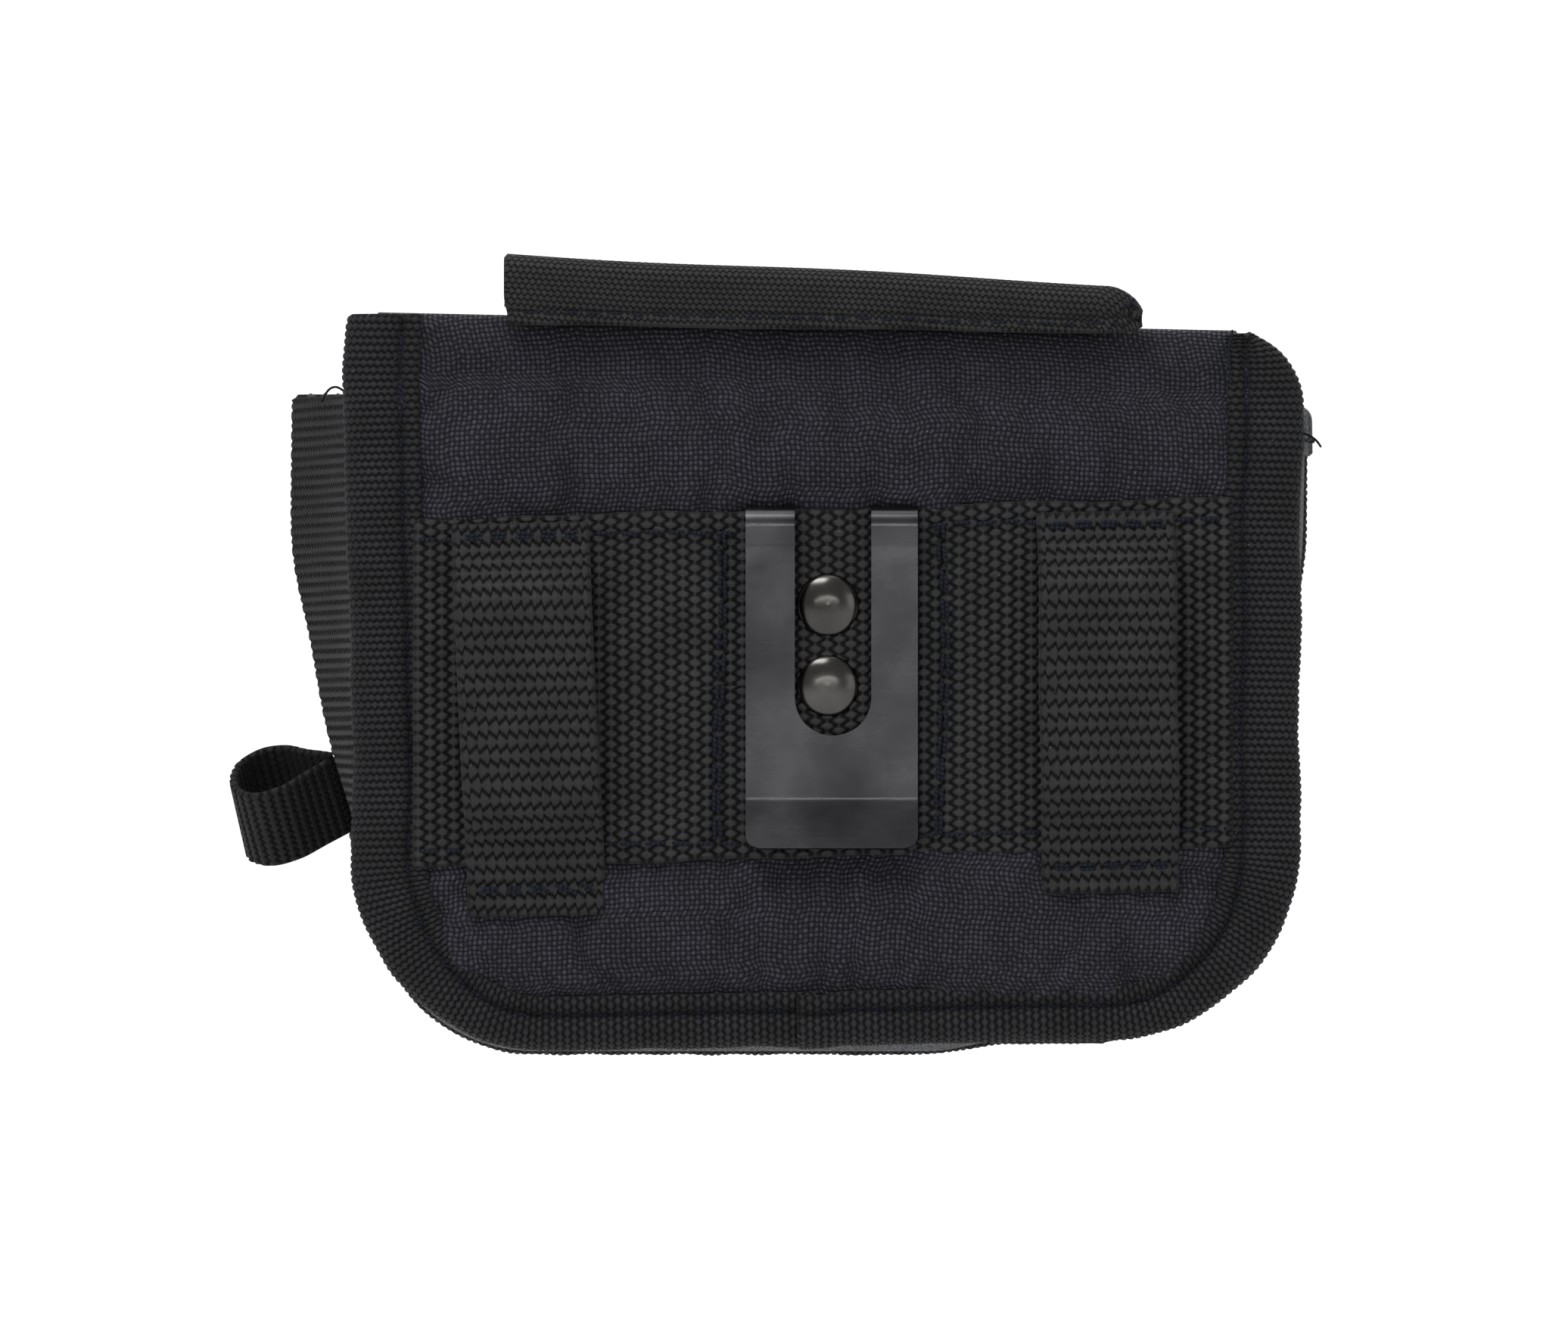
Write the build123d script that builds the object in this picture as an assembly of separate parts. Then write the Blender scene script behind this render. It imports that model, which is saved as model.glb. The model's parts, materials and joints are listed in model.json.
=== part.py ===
from build123d import *
import os
from math import atan, cos, degrees, radians, sin, tan

# Electrician's belt pouch: a padded back panel that rolls over its top edge into a flap, a gusseted
# tool pocket in front, webbing belt loops and a riveted spring clip behind, a pen sleeve on the top
# edge and a webbing tool loop on one side.
#
# Frame, in millimetres: +Z up, +Y from the wearer to the front of the pouch, +X along the belt.
# The origin is on the belt path: the middle of the web band's outer face, which the belt lies on.
# Each soft piece is a plain closed solid of its true size and place.

os.makedirs("parts", exist_ok=True)

# ---- Driving dimensions ----

# Layers of the back panel, front to back along Y, from the web band's outer face at zero.
BAND_THICK = 1.6
FABRIC_THICK = 1.0
FOAM_THICK = 3.0
LINING_THICK = 0.8
TAPE_THICK = 1.0
WEBBING_THICK = 1.5

# Back panel outline, as the corners where its four straight edges would meet.
BACK_TOP_LEFT = (-70.4, 54.9)
BACK_FOOT_LEFT = (-68.3, -54.7)
BACK_FOOT_RIGHT = (70.3, -52.0)
BACK_TOP_RIGHT = (71.0, 51.9)
BACK_FOOT_ROUND = 28.0
BACK_TOP_LEFT_ROUND = 3.0
BACK_TOP_RIGHT_ROUND = 11.0
BACK_TAPE_SIDE = 10.4
BACK_TAPE_FOOT = 7.3
TAPE_JOINT_X = 0.6
TAPE_JOINT_GAP = 0.2

# Web band across the back, sewn a little out of level.
BAND_LEFT = -59.6
BAND_RIGHT = 60.2
BAND_HEIGHT = 50.8
BAND_TILT = 1.5

# Belt loops of narrow webbing, bulging so that a belt passes.
LOOP_WIDTH = 19.5
LOOP_BULGE = 5.0
LOOP_SEAM = 3.2
LOOP_RUN = 7.5
LOOP_STEP = 1.2
LOOP_LEFT = {"x": -43.6, "top": 23.3, "foot": -34.2, "lean": -2.5}
LOOP_RIGHT = {"x": 42.4, "top": 25.2, "foot": -31.0, "lean": -1.3}

# Spring clip: a steel strip bent over the top edge of the web band, with a slot for the rivets.
CLIP_LEFT = -11.2
CLIP_RIGHT = 14.3
CLIP_TOP = 26.2
CLIP_FOOT = -24.6
CLIP_THICK = 0.9
CLIP_CREASE_Z = -16.8
CLIP_CREASE_Y = -0.95
CLIP_LIP_Y = -2.9
CLIP_LIP_ROUND = 1.8
CLIP_SLOT_LEFT = -3.9
CLIP_SLOT_RIGHT = 7.4
CLIP_SLOT_FOOT = -7.8
CLIP_BEND_RADIUS = 2.2
CLIP_PLATE_FOOT = -8.0
CLIP_PLATE_GAP = 1.9
CLIP_PLATE_ROUND = 2.5
CLIP_RELIEF = 0.6
CLIP_LEG_CLEARANCE = 0.5

# Rivets that hold the clip's rear plate to the band.
RIVET_X = 1.0
RIVET_HEIGHTS = (11.5, -0.45)
RIVET_HEAD_RADIUS = 4.7
RIVET_HEAD_RISE = 1.8
RIVET_POST_RADIUS = 1.5
RIVET_BACK_RADIUS = 3.6
RIVET_BACK_THICK = 0.8

# Pen sleeve: webbing folded lengthwise into a tapering tube along the top edge.
SLEEVE_LEFT = -46.7
SLEEVE_RIGHT = 47.3
SLEEVE_TOP_LEFT = 63.7
SLEEVE_TOP_RIGHT = 58.8
SLEEVE_REAR_Y = -1.9
SLEEVE_DEPTH = 8.0
SLEEVE_LIP_LEFT = 1.2
SLEEVE_LIP_RIGHT = 0.5
SLEEVE_STAND_OFF = 0.2
SLEEVE_ROUND = 2.6

# Main pocket: gusset from the back panel to the wider front panel.
GUSSET_THICK = 1.3
FRONT_PANEL_Y = 37.0
FRONT_FABRIC_THICK = 1.2
FRONT_LINING_THICK = 1.4
FRONT_TAPE_WIDTH = 7.0
FRONT_TAPE_THICK = 0.8
MOUTH_Z = 41.6
MOUTH_TILT = 1.0
BELLY_Z = 18.0
GUSSET_REAR_POINTS = [(-67.3, 60), (-67.9, BELLY_Z), (-65.6, -51.8),
                      (67.4, -49.2), (68.6, BELLY_Z), (68.0, 60)]
GUSSET_FRONT_POINTS = [(-78.6, 60), (-78.4, BELLY_Z), (-62.3, -55.4),
                       (58.6, -55.4), (72.4, BELLY_Z), (73.2, 60)]
GUSSET_ROUND = 24.0
RIM_HEIGHT = 6.0
RIM_THICK = 0.8

# Webbing over the left gusset, and the tool loop that is sewn into it.
SIDE_WEB_THICK = 1.4
SIDE_WEB_FOOT = -30.0
TOOL_LOOP_REACH = 12.8
TOOL_LOOP_SPAN = 15.0
TOOL_LOOP_HEIGHT = 13.0
TOOL_LOOP_PIVOT = (-72.6, 20.0, -17.5)
TOOL_LOOP_THICK = 1.4
TOOL_LOOP_TAIL = 4.4
TOOL_LOOP_PITCH = 12.0
TOOL_LOOP_ROLL = -10.0

# Patch pocket on the front panel.
PATCH_LEFT = -50.0
PATCH_RIGHT = 46.0
PATCH_FOOT = -47.8
PATCH_TOP = 2.0
PATCH_DEPTH = 12.0
PATCH_DRAFT = 3.0
PATCH_WALL = 1.2
PATCH_ROUND = 12.0

# Flap: a top panel and a front panel, folding at the back panel's top edge and at its own bend.
FLAP_LEFT = -66.5
FLAP_RIGHT = 62.5
FLAP_FOLD_Y = 7.8
FLAP_TOP_REACH = 36.0
FLAP_SLOPE = 11.0
FLAP_DROP = 37.0
FLAP_FABRIC = 1.0
FLAP_LINING = 1.2
FLAP_TAPE_WIDTH = 9.0
FLAP_FOLD_GAP = 0.6
FLAP_BEND_GAP = 1.5
FLAP_FOOT_ROUND = 24.0
HOOK_WIDTH = 60.0
HOOK_HEIGHT = 16.0
HOOK_THICK = 1.3
HOOK_DROP = 11.0

# ---- Sizes that follow from them ----

OUTER_Y = BAND_THICK
FOAM_Y = OUTER_Y + FABRIC_THICK
LINING_Y = FOAM_Y + FOAM_THICK
PANEL_END_Y = LINING_Y + LINING_THICK
TAPE_REAR_Y = OUTER_Y - TAPE_THICK
TAPE_FRONT_Y = PANEL_END_Y + TAPE_THICK
TOP_SLOPE = (BACK_TOP_RIGHT[1] - BACK_TOP_LEFT[1]) / (BACK_TOP_RIGHT[0] - BACK_TOP_LEFT[0])
TOP_Z = BACK_TOP_LEFT[1] - TOP_SLOPE * BACK_TOP_LEFT[0]
TOP_TILT = -degrees(atan(TOP_SLOPE))
FRONT_TAPE_REAR_Y = FRONT_PANEL_Y - FRONT_TAPE_THICK
FRONT_FABRIC_Y = FRONT_PANEL_Y + FRONT_LINING_THICK
FRONT_FACE_Y = FRONT_FABRIC_Y + FRONT_FABRIC_THICK
FRONT_TAPE_END_Y = FRONT_FACE_Y + FRONT_TAPE_THICK
FAR = 200.0


# ---- Helpers ----

def save(node, shape):
    """Write one node's solids to its own STEP file."""
    shape.label = node
    export_step(shape, f"parts/{node}.step")


def outline(points, radii):
    """Closed face from its corner points, with a round radius at each."""
    return make_face(FilletPolyline(*points, radius=radii, close=True).edges())


def upright(face, y_start, y_end):
    """Stand an X-Z outline up and thicken it from y_start to y_end."""
    plane = Plane(origin=(0, y_start, 0), x_dir=(1, 0, 0), z_dir=(0, -1, 0))
    return extrude(plane * face, amount=y_start - y_end)


def across(face, x_start, x_end):
    """Turn a Y-Z profile to face along X and run it from x_start to x_end."""
    return extrude(Plane.YZ.offset(x_start) * face, amount=x_end - x_start)


def block(low, high):
    """Box between two corners."""
    size = [b - a for a, b in zip(low, high)]
    middle = [(a + b) / 2 for a, b in zip(low, high)]
    return Pos(*middle) * Box(*size)


def drum(x, z, radius, y_start, y_end):
    """Round bar along Y."""
    return Pos(x, y_start, z) * Rot(X=-90) * Cylinder(radius, y_end - y_start,
                                                      align=(Align.CENTER, Align.CENTER, Align.MIN))


# ---- Back panel and its edge binding ----

def back_outline(side, foot, head):
    """Back panel outline pulled in by side and foot, with its top edge moved up by head."""
    top_rounds = (0.5, 0.5) if head > 0 else (BACK_TOP_LEFT_ROUND, BACK_TOP_RIGHT_ROUND - side)
    foot_round = BACK_FOOT_ROUND - max(side, foot)
    points = [(BACK_TOP_LEFT[0] + side, BACK_TOP_LEFT[1] + head),
              (BACK_FOOT_LEFT[0] + side, BACK_FOOT_LEFT[1] + foot),
              (BACK_FOOT_RIGHT[0] - side, BACK_FOOT_RIGHT[1] + foot),
              (BACK_TOP_RIGHT[0] - side, BACK_TOP_RIGHT[1] + head)]
    return outline(points, [top_rounds[0], foot_round, foot_round, top_rounds[1]])


def above_top(drop):
    """Everything above the panel's sloping top edge, lowered by drop."""
    half_space = Box(FAR, FAR, FAR, align=(Align.CENTER, Align.CENTER, Align.MIN))
    return Pos(0, 0, TOP_Z - drop) * Rot(Y=TOP_TILT) * half_space


# The clip's rear plate and rivet backs sit in a dent between the band and the panel.
CLIP_DENT_DEPTH = CLIP_THICK + RIVET_BACK_THICK + 0.1
dent_low = (CLIP_LEFT - CLIP_RELIEF, OUTER_Y, CLIP_PLATE_FOOT - CLIP_RELIEF)
dent_high = (CLIP_RIGHT + CLIP_RELIEF, OUTER_Y + CLIP_DENT_DEPTH, CLIP_TOP + CLIP_RELIEF)
dent = block(dent_low, dent_high)
dent_skin_low = [v - FABRIC_THICK for v in dent_low]
dent_skin_high = [v + FABRIC_THICK for v in dent_high]
dent_skin = block((dent_skin_low[0], OUTER_Y, dent_skin_low[2]), dent_skin_high)

panel_shape = back_outline(TAPE_THICK, TAPE_THICK, 0)
skin = upright(panel_shape, OUTER_Y, FOAM_Y)
roll_shape = back_outline(BACK_TAPE_SIDE + 0.3, TAPE_THICK, 0)
roll = upright(roll_shape, FOAM_Y, PANEL_END_Y) & above_top(FABRIC_THICK)
back_panel_outer = (skin + dent_skin + roll) - dent

foam_shape = back_outline(TAPE_THICK, TAPE_THICK, 0)
back_panel_foam = upright(foam_shape, FOAM_Y, LINING_Y) - above_top(FABRIC_THICK) - dent_skin
back_panel_lining = upright(foam_shape, LINING_Y, PANEL_END_Y) - above_top(FABRIC_THICK)

binding_shape = back_outline(0, 0, 0) - back_outline(BACK_TAPE_SIDE, BACK_TAPE_FOOT, 20)
binding = upright(binding_shape, TAPE_REAR_Y, TAPE_FRONT_Y)
binding -= upright(panel_shape, OUTER_Y, PANEL_END_Y)
left_side = block((-FAR, -FAR, -FAR), (TAPE_JOINT_X - TAPE_JOINT_GAP / 2, FAR, FAR))
right_side = block((TAPE_JOINT_X + TAPE_JOINT_GAP / 2, -FAR, -FAR), (FAR, FAR, FAR))
save("back_panel_outer", back_panel_outer)
save("back_panel_foam", back_panel_foam)
save("back_panel_lining", back_panel_lining)
save("edge_binding_left", binding & left_side)
save("edge_binding_right", binding & right_side)

# ---- Web band and belt loops ----

band = block((BAND_LEFT, 0, -BAND_HEIGHT / 2), (BAND_RIGHT, BAND_THICK, BAND_HEIGHT / 2))
band = Rot(Y=-BAND_TILT) * band - binding
BEND_Z = CLIP_TOP - CLIP_THICK / 2 - CLIP_BEND_RADIUS
for leg_left, leg_right in ((CLIP_LEFT, CLIP_SLOT_LEFT), (CLIP_SLOT_RIGHT, CLIP_RIGHT)):
    low = (leg_left - CLIP_LEG_CLEARANCE, -1, BEND_Z - CLIP_LEG_CLEARANCE)
    high = (leg_right + CLIP_LEG_CLEARANCE, OUTER_Y + 1, CLIP_TOP + CLIP_LEG_CLEARANCE)
    band -= block(low, high)
for height in RIVET_HEIGHTS:
    band -= drum(RIVET_X, height, RIVET_POST_RADIUS, -1, OUTER_Y + 1)
save("web_band", band)


def belt_loop(spec):
    """Webbing strip sewn at both ends, bulging off the band and stepping down onto the panel."""
    band_foot = -BAND_HEIGHT / 2 + spec["x"] * tan(radians(BAND_TILT)) - LOOP_STEP
    rise_top = spec["top"] - LOOP_SEAM
    rise_foot = band_foot + LOOP_SEAM
    inner = [(0, spec["top"]), (0, rise_top), (-LOOP_BULGE, rise_top - LOOP_RUN),
             (-LOOP_BULGE, rise_foot + LOOP_RUN), (0, rise_foot), (0, band_foot),
             (OUTER_Y, band_foot - LOOP_STEP), (OUTER_Y, spec["foot"])]
    outer = [(y - WEBBING_THICK, z) for y, z in reversed(inner)]
    profile = make_face(Polyline(*inner, *outer, close=True).edges())
    strip = across(profile, -LOOP_WIDTH / 2, LOOP_WIDTH / 2)
    return Pos(spec["x"], 0, 0) * Rot(Y=spec["lean"]) * strip


save("belt_loop_left", belt_loop(LOOP_LEFT))
save("belt_loop_right", belt_loop(LOOP_RIGHT))

# ---- Spring clip and rivets ----

BEND_Y = OUTER_Y + CLIP_THICK / 2 - CLIP_BEND_RADIUS
half = CLIP_THICK / 2
bend_ring = Circle(CLIP_BEND_RADIUS + half) - Circle(CLIP_BEND_RADIUS - half)
bend_ring &= Pos(0, CLIP_BEND_RADIUS) * Rectangle(3 * CLIP_BEND_RADIUS, 2 * CLIP_BEND_RADIUS)
leaf_path = [(BEND_Y - CLIP_BEND_RADIUS, BEND_Z), (CLIP_CREASE_Y, CLIP_CREASE_Z), (CLIP_LIP_Y, CLIP_FOOT)]
leaf_edge = [(y - half, z) for y, z in leaf_path] + [(y + half, z) for y, z in reversed(leaf_path)]
leaf_profile = make_face(Polyline(*leaf_edge, close=True).edges()) + Pos(BEND_Y, BEND_Z) * bend_ring
clip_width = (CLIP_LEFT, CLIP_RIGHT)
leaf = across(leaf_profile, *clip_width)
lip_points = [(CLIP_LEFT, 40), (CLIP_LEFT, CLIP_FOOT), (CLIP_RIGHT, CLIP_FOOT), (CLIP_RIGHT, 40)]
leaf &= upright(outline(lip_points, [0.5, CLIP_LIP_ROUND, CLIP_LIP_ROUND, 0.5]), -20, 20)
slot_radius = (CLIP_SLOT_RIGHT - CLIP_SLOT_LEFT) / 2
slot_x = (CLIP_SLOT_RIGHT + CLIP_SLOT_LEFT) / 2
slot_z = CLIP_SLOT_FOOT + slot_radius
leaf -= block((CLIP_SLOT_LEFT, -20, slot_z), (CLIP_SLOT_RIGHT, 20, 40))
leaf -= drum(slot_x, slot_z, slot_radius, -20, 20)
save("clip_leaf", leaf)

plate_top = BEND_Z - CLIP_PLATE_GAP
plate_points = [(CLIP_LEFT, plate_top), (CLIP_LEFT, CLIP_PLATE_FOOT),
                (CLIP_RIGHT, CLIP_PLATE_FOOT), (CLIP_RIGHT, plate_top)]
plate_rounds = [0.5, CLIP_PLATE_ROUND, CLIP_PLATE_ROUND, 0.5]
plate = upright(outline(plate_points, plate_rounds), OUTER_Y, OUTER_Y + CLIP_THICK)
caps = []
backs = []
for height in RIVET_HEIGHTS:
    plate -= drum(RIVET_X, height, RIVET_POST_RADIUS, 0, 10)
    dome_radius = (RIVET_HEAD_RADIUS ** 2 + RIVET_HEAD_RISE ** 2) / (2 * RIVET_HEAD_RISE)
    dome = Pos(RIVET_X, dome_radius - RIVET_HEAD_RISE, height) * Sphere(dome_radius)
    dome &= drum(RIVET_X, height, RIVET_HEAD_RADIUS, -RIVET_HEAD_RISE - 1, 0)
    back_y = OUTER_Y + CLIP_THICK
    post = drum(RIVET_X, height, RIVET_POST_RADIUS, 0, back_y + RIVET_BACK_THICK)
    caps.append(dome + post)
    disc = drum(RIVET_X, height, RIVET_BACK_RADIUS, back_y, back_y + RIVET_BACK_THICK)
    backs.append(disc - drum(RIVET_X, height, RIVET_POST_RADIUS, 0, 10))
save("clip_rear_plate", plate)
save("rivet_caps", Compound(children=[cap.solid() for cap in caps]))
save("rivet_backs", Compound(children=[back.solid() for back in backs]))

# ---- Pen sleeve ----


def sleeve_section(x, top, shrink):
    """Rounded tube section at x, standing on the panel's top edge, pulled in by shrink."""
    foot = TOP_Z + TOP_SLOPE * x + SLEEVE_STAND_OFF + shrink
    width = SLEEVE_DEPTH - 2 * shrink
    height = top - shrink - foot
    middle_y = SLEEVE_REAR_Y + SLEEVE_DEPTH / 2
    shape = RectangleRounded(width, height, SLEEVE_ROUND - shrink)
    return Plane.YZ.offset(x) * Pos(middle_y, foot + height / 2) * shape


def sleeve_lip(x, reach):
    """Free edge of the rear leaf, hanging over the panel's top edge."""
    edge_z = TOP_Z + TOP_SLOPE * x
    points = [(SLEEVE_REAR_Y, edge_z - reach), (SLEEVE_REAR_Y + WEBBING_THICK, edge_z - reach),
              (SLEEVE_REAR_Y + WEBBING_THICK, edge_z + 3), (SLEEVE_REAR_Y, edge_z + 3)]
    return Plane.YZ.offset(x) * make_face(Polyline(*points, close=True).edges())


def sleeve_loft(shrink, overrun):
    """Tapering tube from the open end to the sewn end."""
    return loft([sleeve_section(SLEEVE_LEFT - overrun, SLEEVE_TOP_LEFT, shrink),
                 sleeve_section(SLEEVE_RIGHT + overrun, SLEEVE_TOP_RIGHT, shrink)])


lip_ends = [sleeve_lip(SLEEVE_LEFT, SLEEVE_LIP_LEFT), sleeve_lip(SLEEVE_RIGHT, SLEEVE_LIP_RIGHT)]
sleeve = sleeve_loft(0, 0) + loft(lip_ends)
save("pen_sleeve", sleeve - sleeve_loft(WEBBING_THICK, 1))

# ---- Main pocket: gusset, webbing, rim ----


def grown(points, grow):
    """Move an outline's corners outwards: left, right and down by grow."""
    return [(x - grow if x < 0 else x + grow, z - grow if z < 0 else z) for x, z in points]


def pocket_solid(grow, y_start=TAPE_FRONT_Y, y_end=FRONT_TAPE_REAR_Y):
    """Solid that fills the gusset, from the back panel's tape to the front panel's tape."""
    rounds = [1, 60, GUSSET_ROUND + grow, GUSSET_ROUND + grow, 60, 1]
    faces = []
    for y, points in ((y_start, GUSSET_REAR_POINTS), (y_end, GUSSET_FRONT_POINTS)):
        plane = Plane(origin=(0, y, 0), x_dir=(1, 0, 0), z_dir=(0, -1, 0))
        faces.append(plane * outline(grown(points, grow), rounds))
    return loft(faces, ruled=True)


def above_mouth(drop):
    """Everything above the pocket's sloping mouth, lowered by drop."""
    half_space = Box(FAR, FAR, FAR, align=(Align.CENTER, Align.CENTER, Align.MIN))
    return Pos(0, 0, MOUTH_Z - drop) * Rot(Y=MOUTH_TILT) * half_space


gusset_outside = pocket_solid(0)
gusset = gusset_outside - pocket_solid(-GUSSET_THICK) - above_mouth(0)
save("gusset", gusset)

side_web = pocket_solid(SIDE_WEB_THICK) - gusset_outside - above_mouth(0)
side_web &= block((-FAR, TAPE_FRONT_Y + 0.5, SIDE_WEB_FOOT), (-50, FRONT_TAPE_REAR_Y - 0.5, FAR))
save("side_web", side_web)

rim = pocket_solid(RIM_THICK) - pocket_solid(-GUSSET_THICK - RIM_THICK)
rim = (rim - gusset - above_mouth(-RIM_THICK)) & above_mouth(RIM_HEIGHT)
rim &= block((40, TAPE_FRONT_Y + 0.3, 0), (FAR, FRONT_TAPE_REAR_Y - 0.3, FAR))
save("gusset_rim", rim)

# ---- Front panel ----


def front_outline(inset):
    """Front panel outline, running up past the mouth."""
    rounds = [1, 60, GUSSET_ROUND - inset, GUSSET_ROUND - inset, 60, 1]
    return outline(grown(GUSSET_FRONT_POINTS, -inset), rounds)


front_blank = front_outline(TAPE_THICK)
above_front = above_mouth(TAPE_THICK)
save("front_panel_lining", upright(front_blank, FRONT_PANEL_Y, FRONT_FABRIC_Y) - above_front)
save("front_panel_outer", upright(front_blank, FRONT_FABRIC_Y, FRONT_FACE_Y) - above_front)

front_tape_shape = front_outline(0) - front_outline(FRONT_TAPE_WIDTH)
front_slot = upright(front_blank, FRONT_PANEL_Y, FRONT_FACE_Y)
front_binding = upright(front_tape_shape, FRONT_TAPE_REAR_Y, FRONT_TAPE_END_Y)
save("front_binding", front_binding - front_slot - above_mouth(0))

mouth_tape = upright(front_outline(FRONT_TAPE_WIDTH + 0.2), FRONT_TAPE_REAR_Y, FRONT_TAPE_END_Y)
mouth_tape = (mouth_tape & above_mouth(FRONT_TAPE_WIDTH)) - above_mouth(0)
save("mouth_binding", mouth_tape - (front_slot - above_front))

flap_front_top = TOP_Z - FLAP_TOP_REACH * sin(radians(FLAP_SLOPE)) - FLAP_FABRIC - FLAP_LINING
loop_tape_z = flap_front_top - HOOK_DROP
loop_tape = block((-HOOK_WIDTH / 2, FRONT_FACE_Y, loop_tape_z - HOOK_HEIGHT),
                  (HOOK_WIDTH / 2, FRONT_FACE_Y + HOOK_THICK, loop_tape_z))
save("loop_tape", loop_tape)

# ---- Patch pocket ----


def patch_solid(wall):
    """Tapering block of the patch pocket, pulled in by one wall thickness."""
    faces = []
    for y, draft in ((FRONT_FACE_Y, 0), (FRONT_FACE_Y + PATCH_DEPTH - wall, PATCH_DRAFT)):
        inset = wall + draft
        points = [(PATCH_LEFT + inset, 20), (PATCH_LEFT + inset, PATCH_FOOT + inset),
                  (PATCH_RIGHT - inset, PATCH_FOOT + inset), (PATCH_RIGHT - inset, 20)]
        plane = Plane(origin=(0, y, 0), x_dir=(1, 0, 0), z_dir=(0, -1, 0))
        faces.append(plane * outline(points, [1, PATCH_ROUND - wall, PATCH_ROUND - wall, 1]))
    return loft(faces, ruled=True)


above_patch = block((-FAR, -FAR, PATCH_TOP), (FAR, FAR, FAR))
patch_pocket = patch_solid(0) - patch_solid(PATCH_WALL) - above_patch
patch_front_y = FRONT_FACE_Y + PATCH_DEPTH
patch_inset = PATCH_DRAFT + PATCH_WALL + TAPE_THICK
patch_tape_rear = patch_front_y - PATCH_WALL - TAPE_THICK
patch_tape_foot = PATCH_TOP - FRONT_TAPE_WIDTH
patch_tape = block((PATCH_LEFT + patch_inset, patch_tape_rear, patch_tape_foot),
                   (PATCH_RIGHT - patch_inset, patch_front_y + TAPE_THICK, PATCH_TOP + TAPE_THICK))
save("patch_pocket", patch_pocket)
save("patch_pocket_binding", patch_tape - patch_pocket)

# ---- Flap ----

fold = Pos(0, FLAP_FOLD_Y, TOP_Z) * Rot(Y=TOP_TILT) * Rot(X=-FLAP_SLOPE)
flap_skin = FLAP_FABRIC + FLAP_LINING
bend = fold * Pos(0, FLAP_TOP_REACH, -flap_skin) * Rot(X=FLAP_SLOPE - 90)


def flap_sheet(left, right, start, end, low, high, foot_round=0.0):
    """Flat panel in the flap's own plane: X across, Y along the flap, Z out of its outer face."""
    points = [(left, start), (left, end), (right, end), (right, start)]
    rounds = [0, foot_round, foot_round, 0]
    return Pos(0, 0, low) * extrude(outline(points, rounds), amount=high - low)


def flap_tape(start, end, base, foot_round=0.0):
    """Tape folded round the flap's edges, leaving the flap's two layers inside it."""
    pieces = []
    for inset, low, high in ((0, base - TAPE_THICK, base + flap_skin + TAPE_THICK),
                             (FLAP_TAPE_WIDTH, -9, 9),
                             (TAPE_THICK, base, base + flap_skin)):
        piece_start = start - 1 if inset else start
        piece_end = end - inset if foot_round else end + (1 if inset else 0)
        piece_round = foot_round - inset if foot_round else 0.0
        pieces.append(flap_sheet(FLAP_LEFT + inset, FLAP_RIGHT - inset,
                                 piece_start, piece_end, low, high, piece_round))
    wrap, hole, slot = pieces
    return wrap - hole - slot


top_start = FLAP_FOLD_GAP
top_end = FLAP_TOP_REACH - FLAP_BEND_GAP
sheet_left = FLAP_LEFT + TAPE_THICK
sheet_right = FLAP_RIGHT - TAPE_THICK
save("flap_top_outer",
     fold * flap_sheet(sheet_left, sheet_right, top_start, top_end, -FLAP_FABRIC, 0))
save("flap_top_lining",
     fold * flap_sheet(sheet_left, sheet_right, top_start, top_end, -flap_skin, -FLAP_FABRIC))
top_tape = flap_tape(top_start, top_end, -flap_skin)
left_half = block((-FAR, -FAR, -FAR), (0, FAR, FAR))
save("flap_top_binding_left", fold * (top_tape & left_half))
save("flap_top_binding_right", fold * (top_tape - left_half))

drop_round = FLAP_FOOT_ROUND - TAPE_THICK
drop_end = FLAP_DROP - TAPE_THICK
drop_span = (sheet_left, sheet_right, FLAP_BEND_GAP, drop_end)
save("flap_front_outer", bend * flap_sheet(*drop_span, FLAP_LINING, flap_skin, drop_round))
save("flap_front_lining", bend * flap_sheet(*drop_span, 0, FLAP_LINING, drop_round))
save("flap_front_binding", bend * flap_tape(FLAP_BEND_GAP, FLAP_DROP, 0, FLAP_FOOT_ROUND))
save("hook_tape", bend * block((-HOOK_WIDTH / 2, HOOK_DROP, -HOOK_THICK + 0.1),
                               (HOOK_WIDTH / 2, HOOK_DROP + HOOK_HEIGHT, 0)))

# ---- Side tool loop ----

# The webbing ring, looking down on it: its tail is at the pivot, and it widens to a rounded far end.
reach = TOOL_LOOP_REACH
half_span = TOOL_LOOP_SPAN / 2
half_tail = TOOL_LOOP_TAIL / 2
shoulder = 0.42 * reach
ring_points = [(0, -half_tail), (-shoulder, -half_span), (-reach, -half_span),
               (-reach, half_span), (-shoulder, half_span), (0, half_tail)]
ring = outline(ring_points, [0.5, 3, 5, 5, 3, 0.5])
ring -= offset(ring, -TOOL_LOOP_THICK)
tool_loop = Pos(0, 0, -TOOL_LOOP_HEIGHT / 2) * extrude(ring, amount=TOOL_LOOP_HEIGHT)
tool_loop = Pos(*TOOL_LOOP_PIVOT) * Rot(X=TOOL_LOOP_PITCH) * Rot(Y=TOOL_LOOP_ROLL) * tool_loop
save("side_tool_loop", tool_loop)

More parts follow.
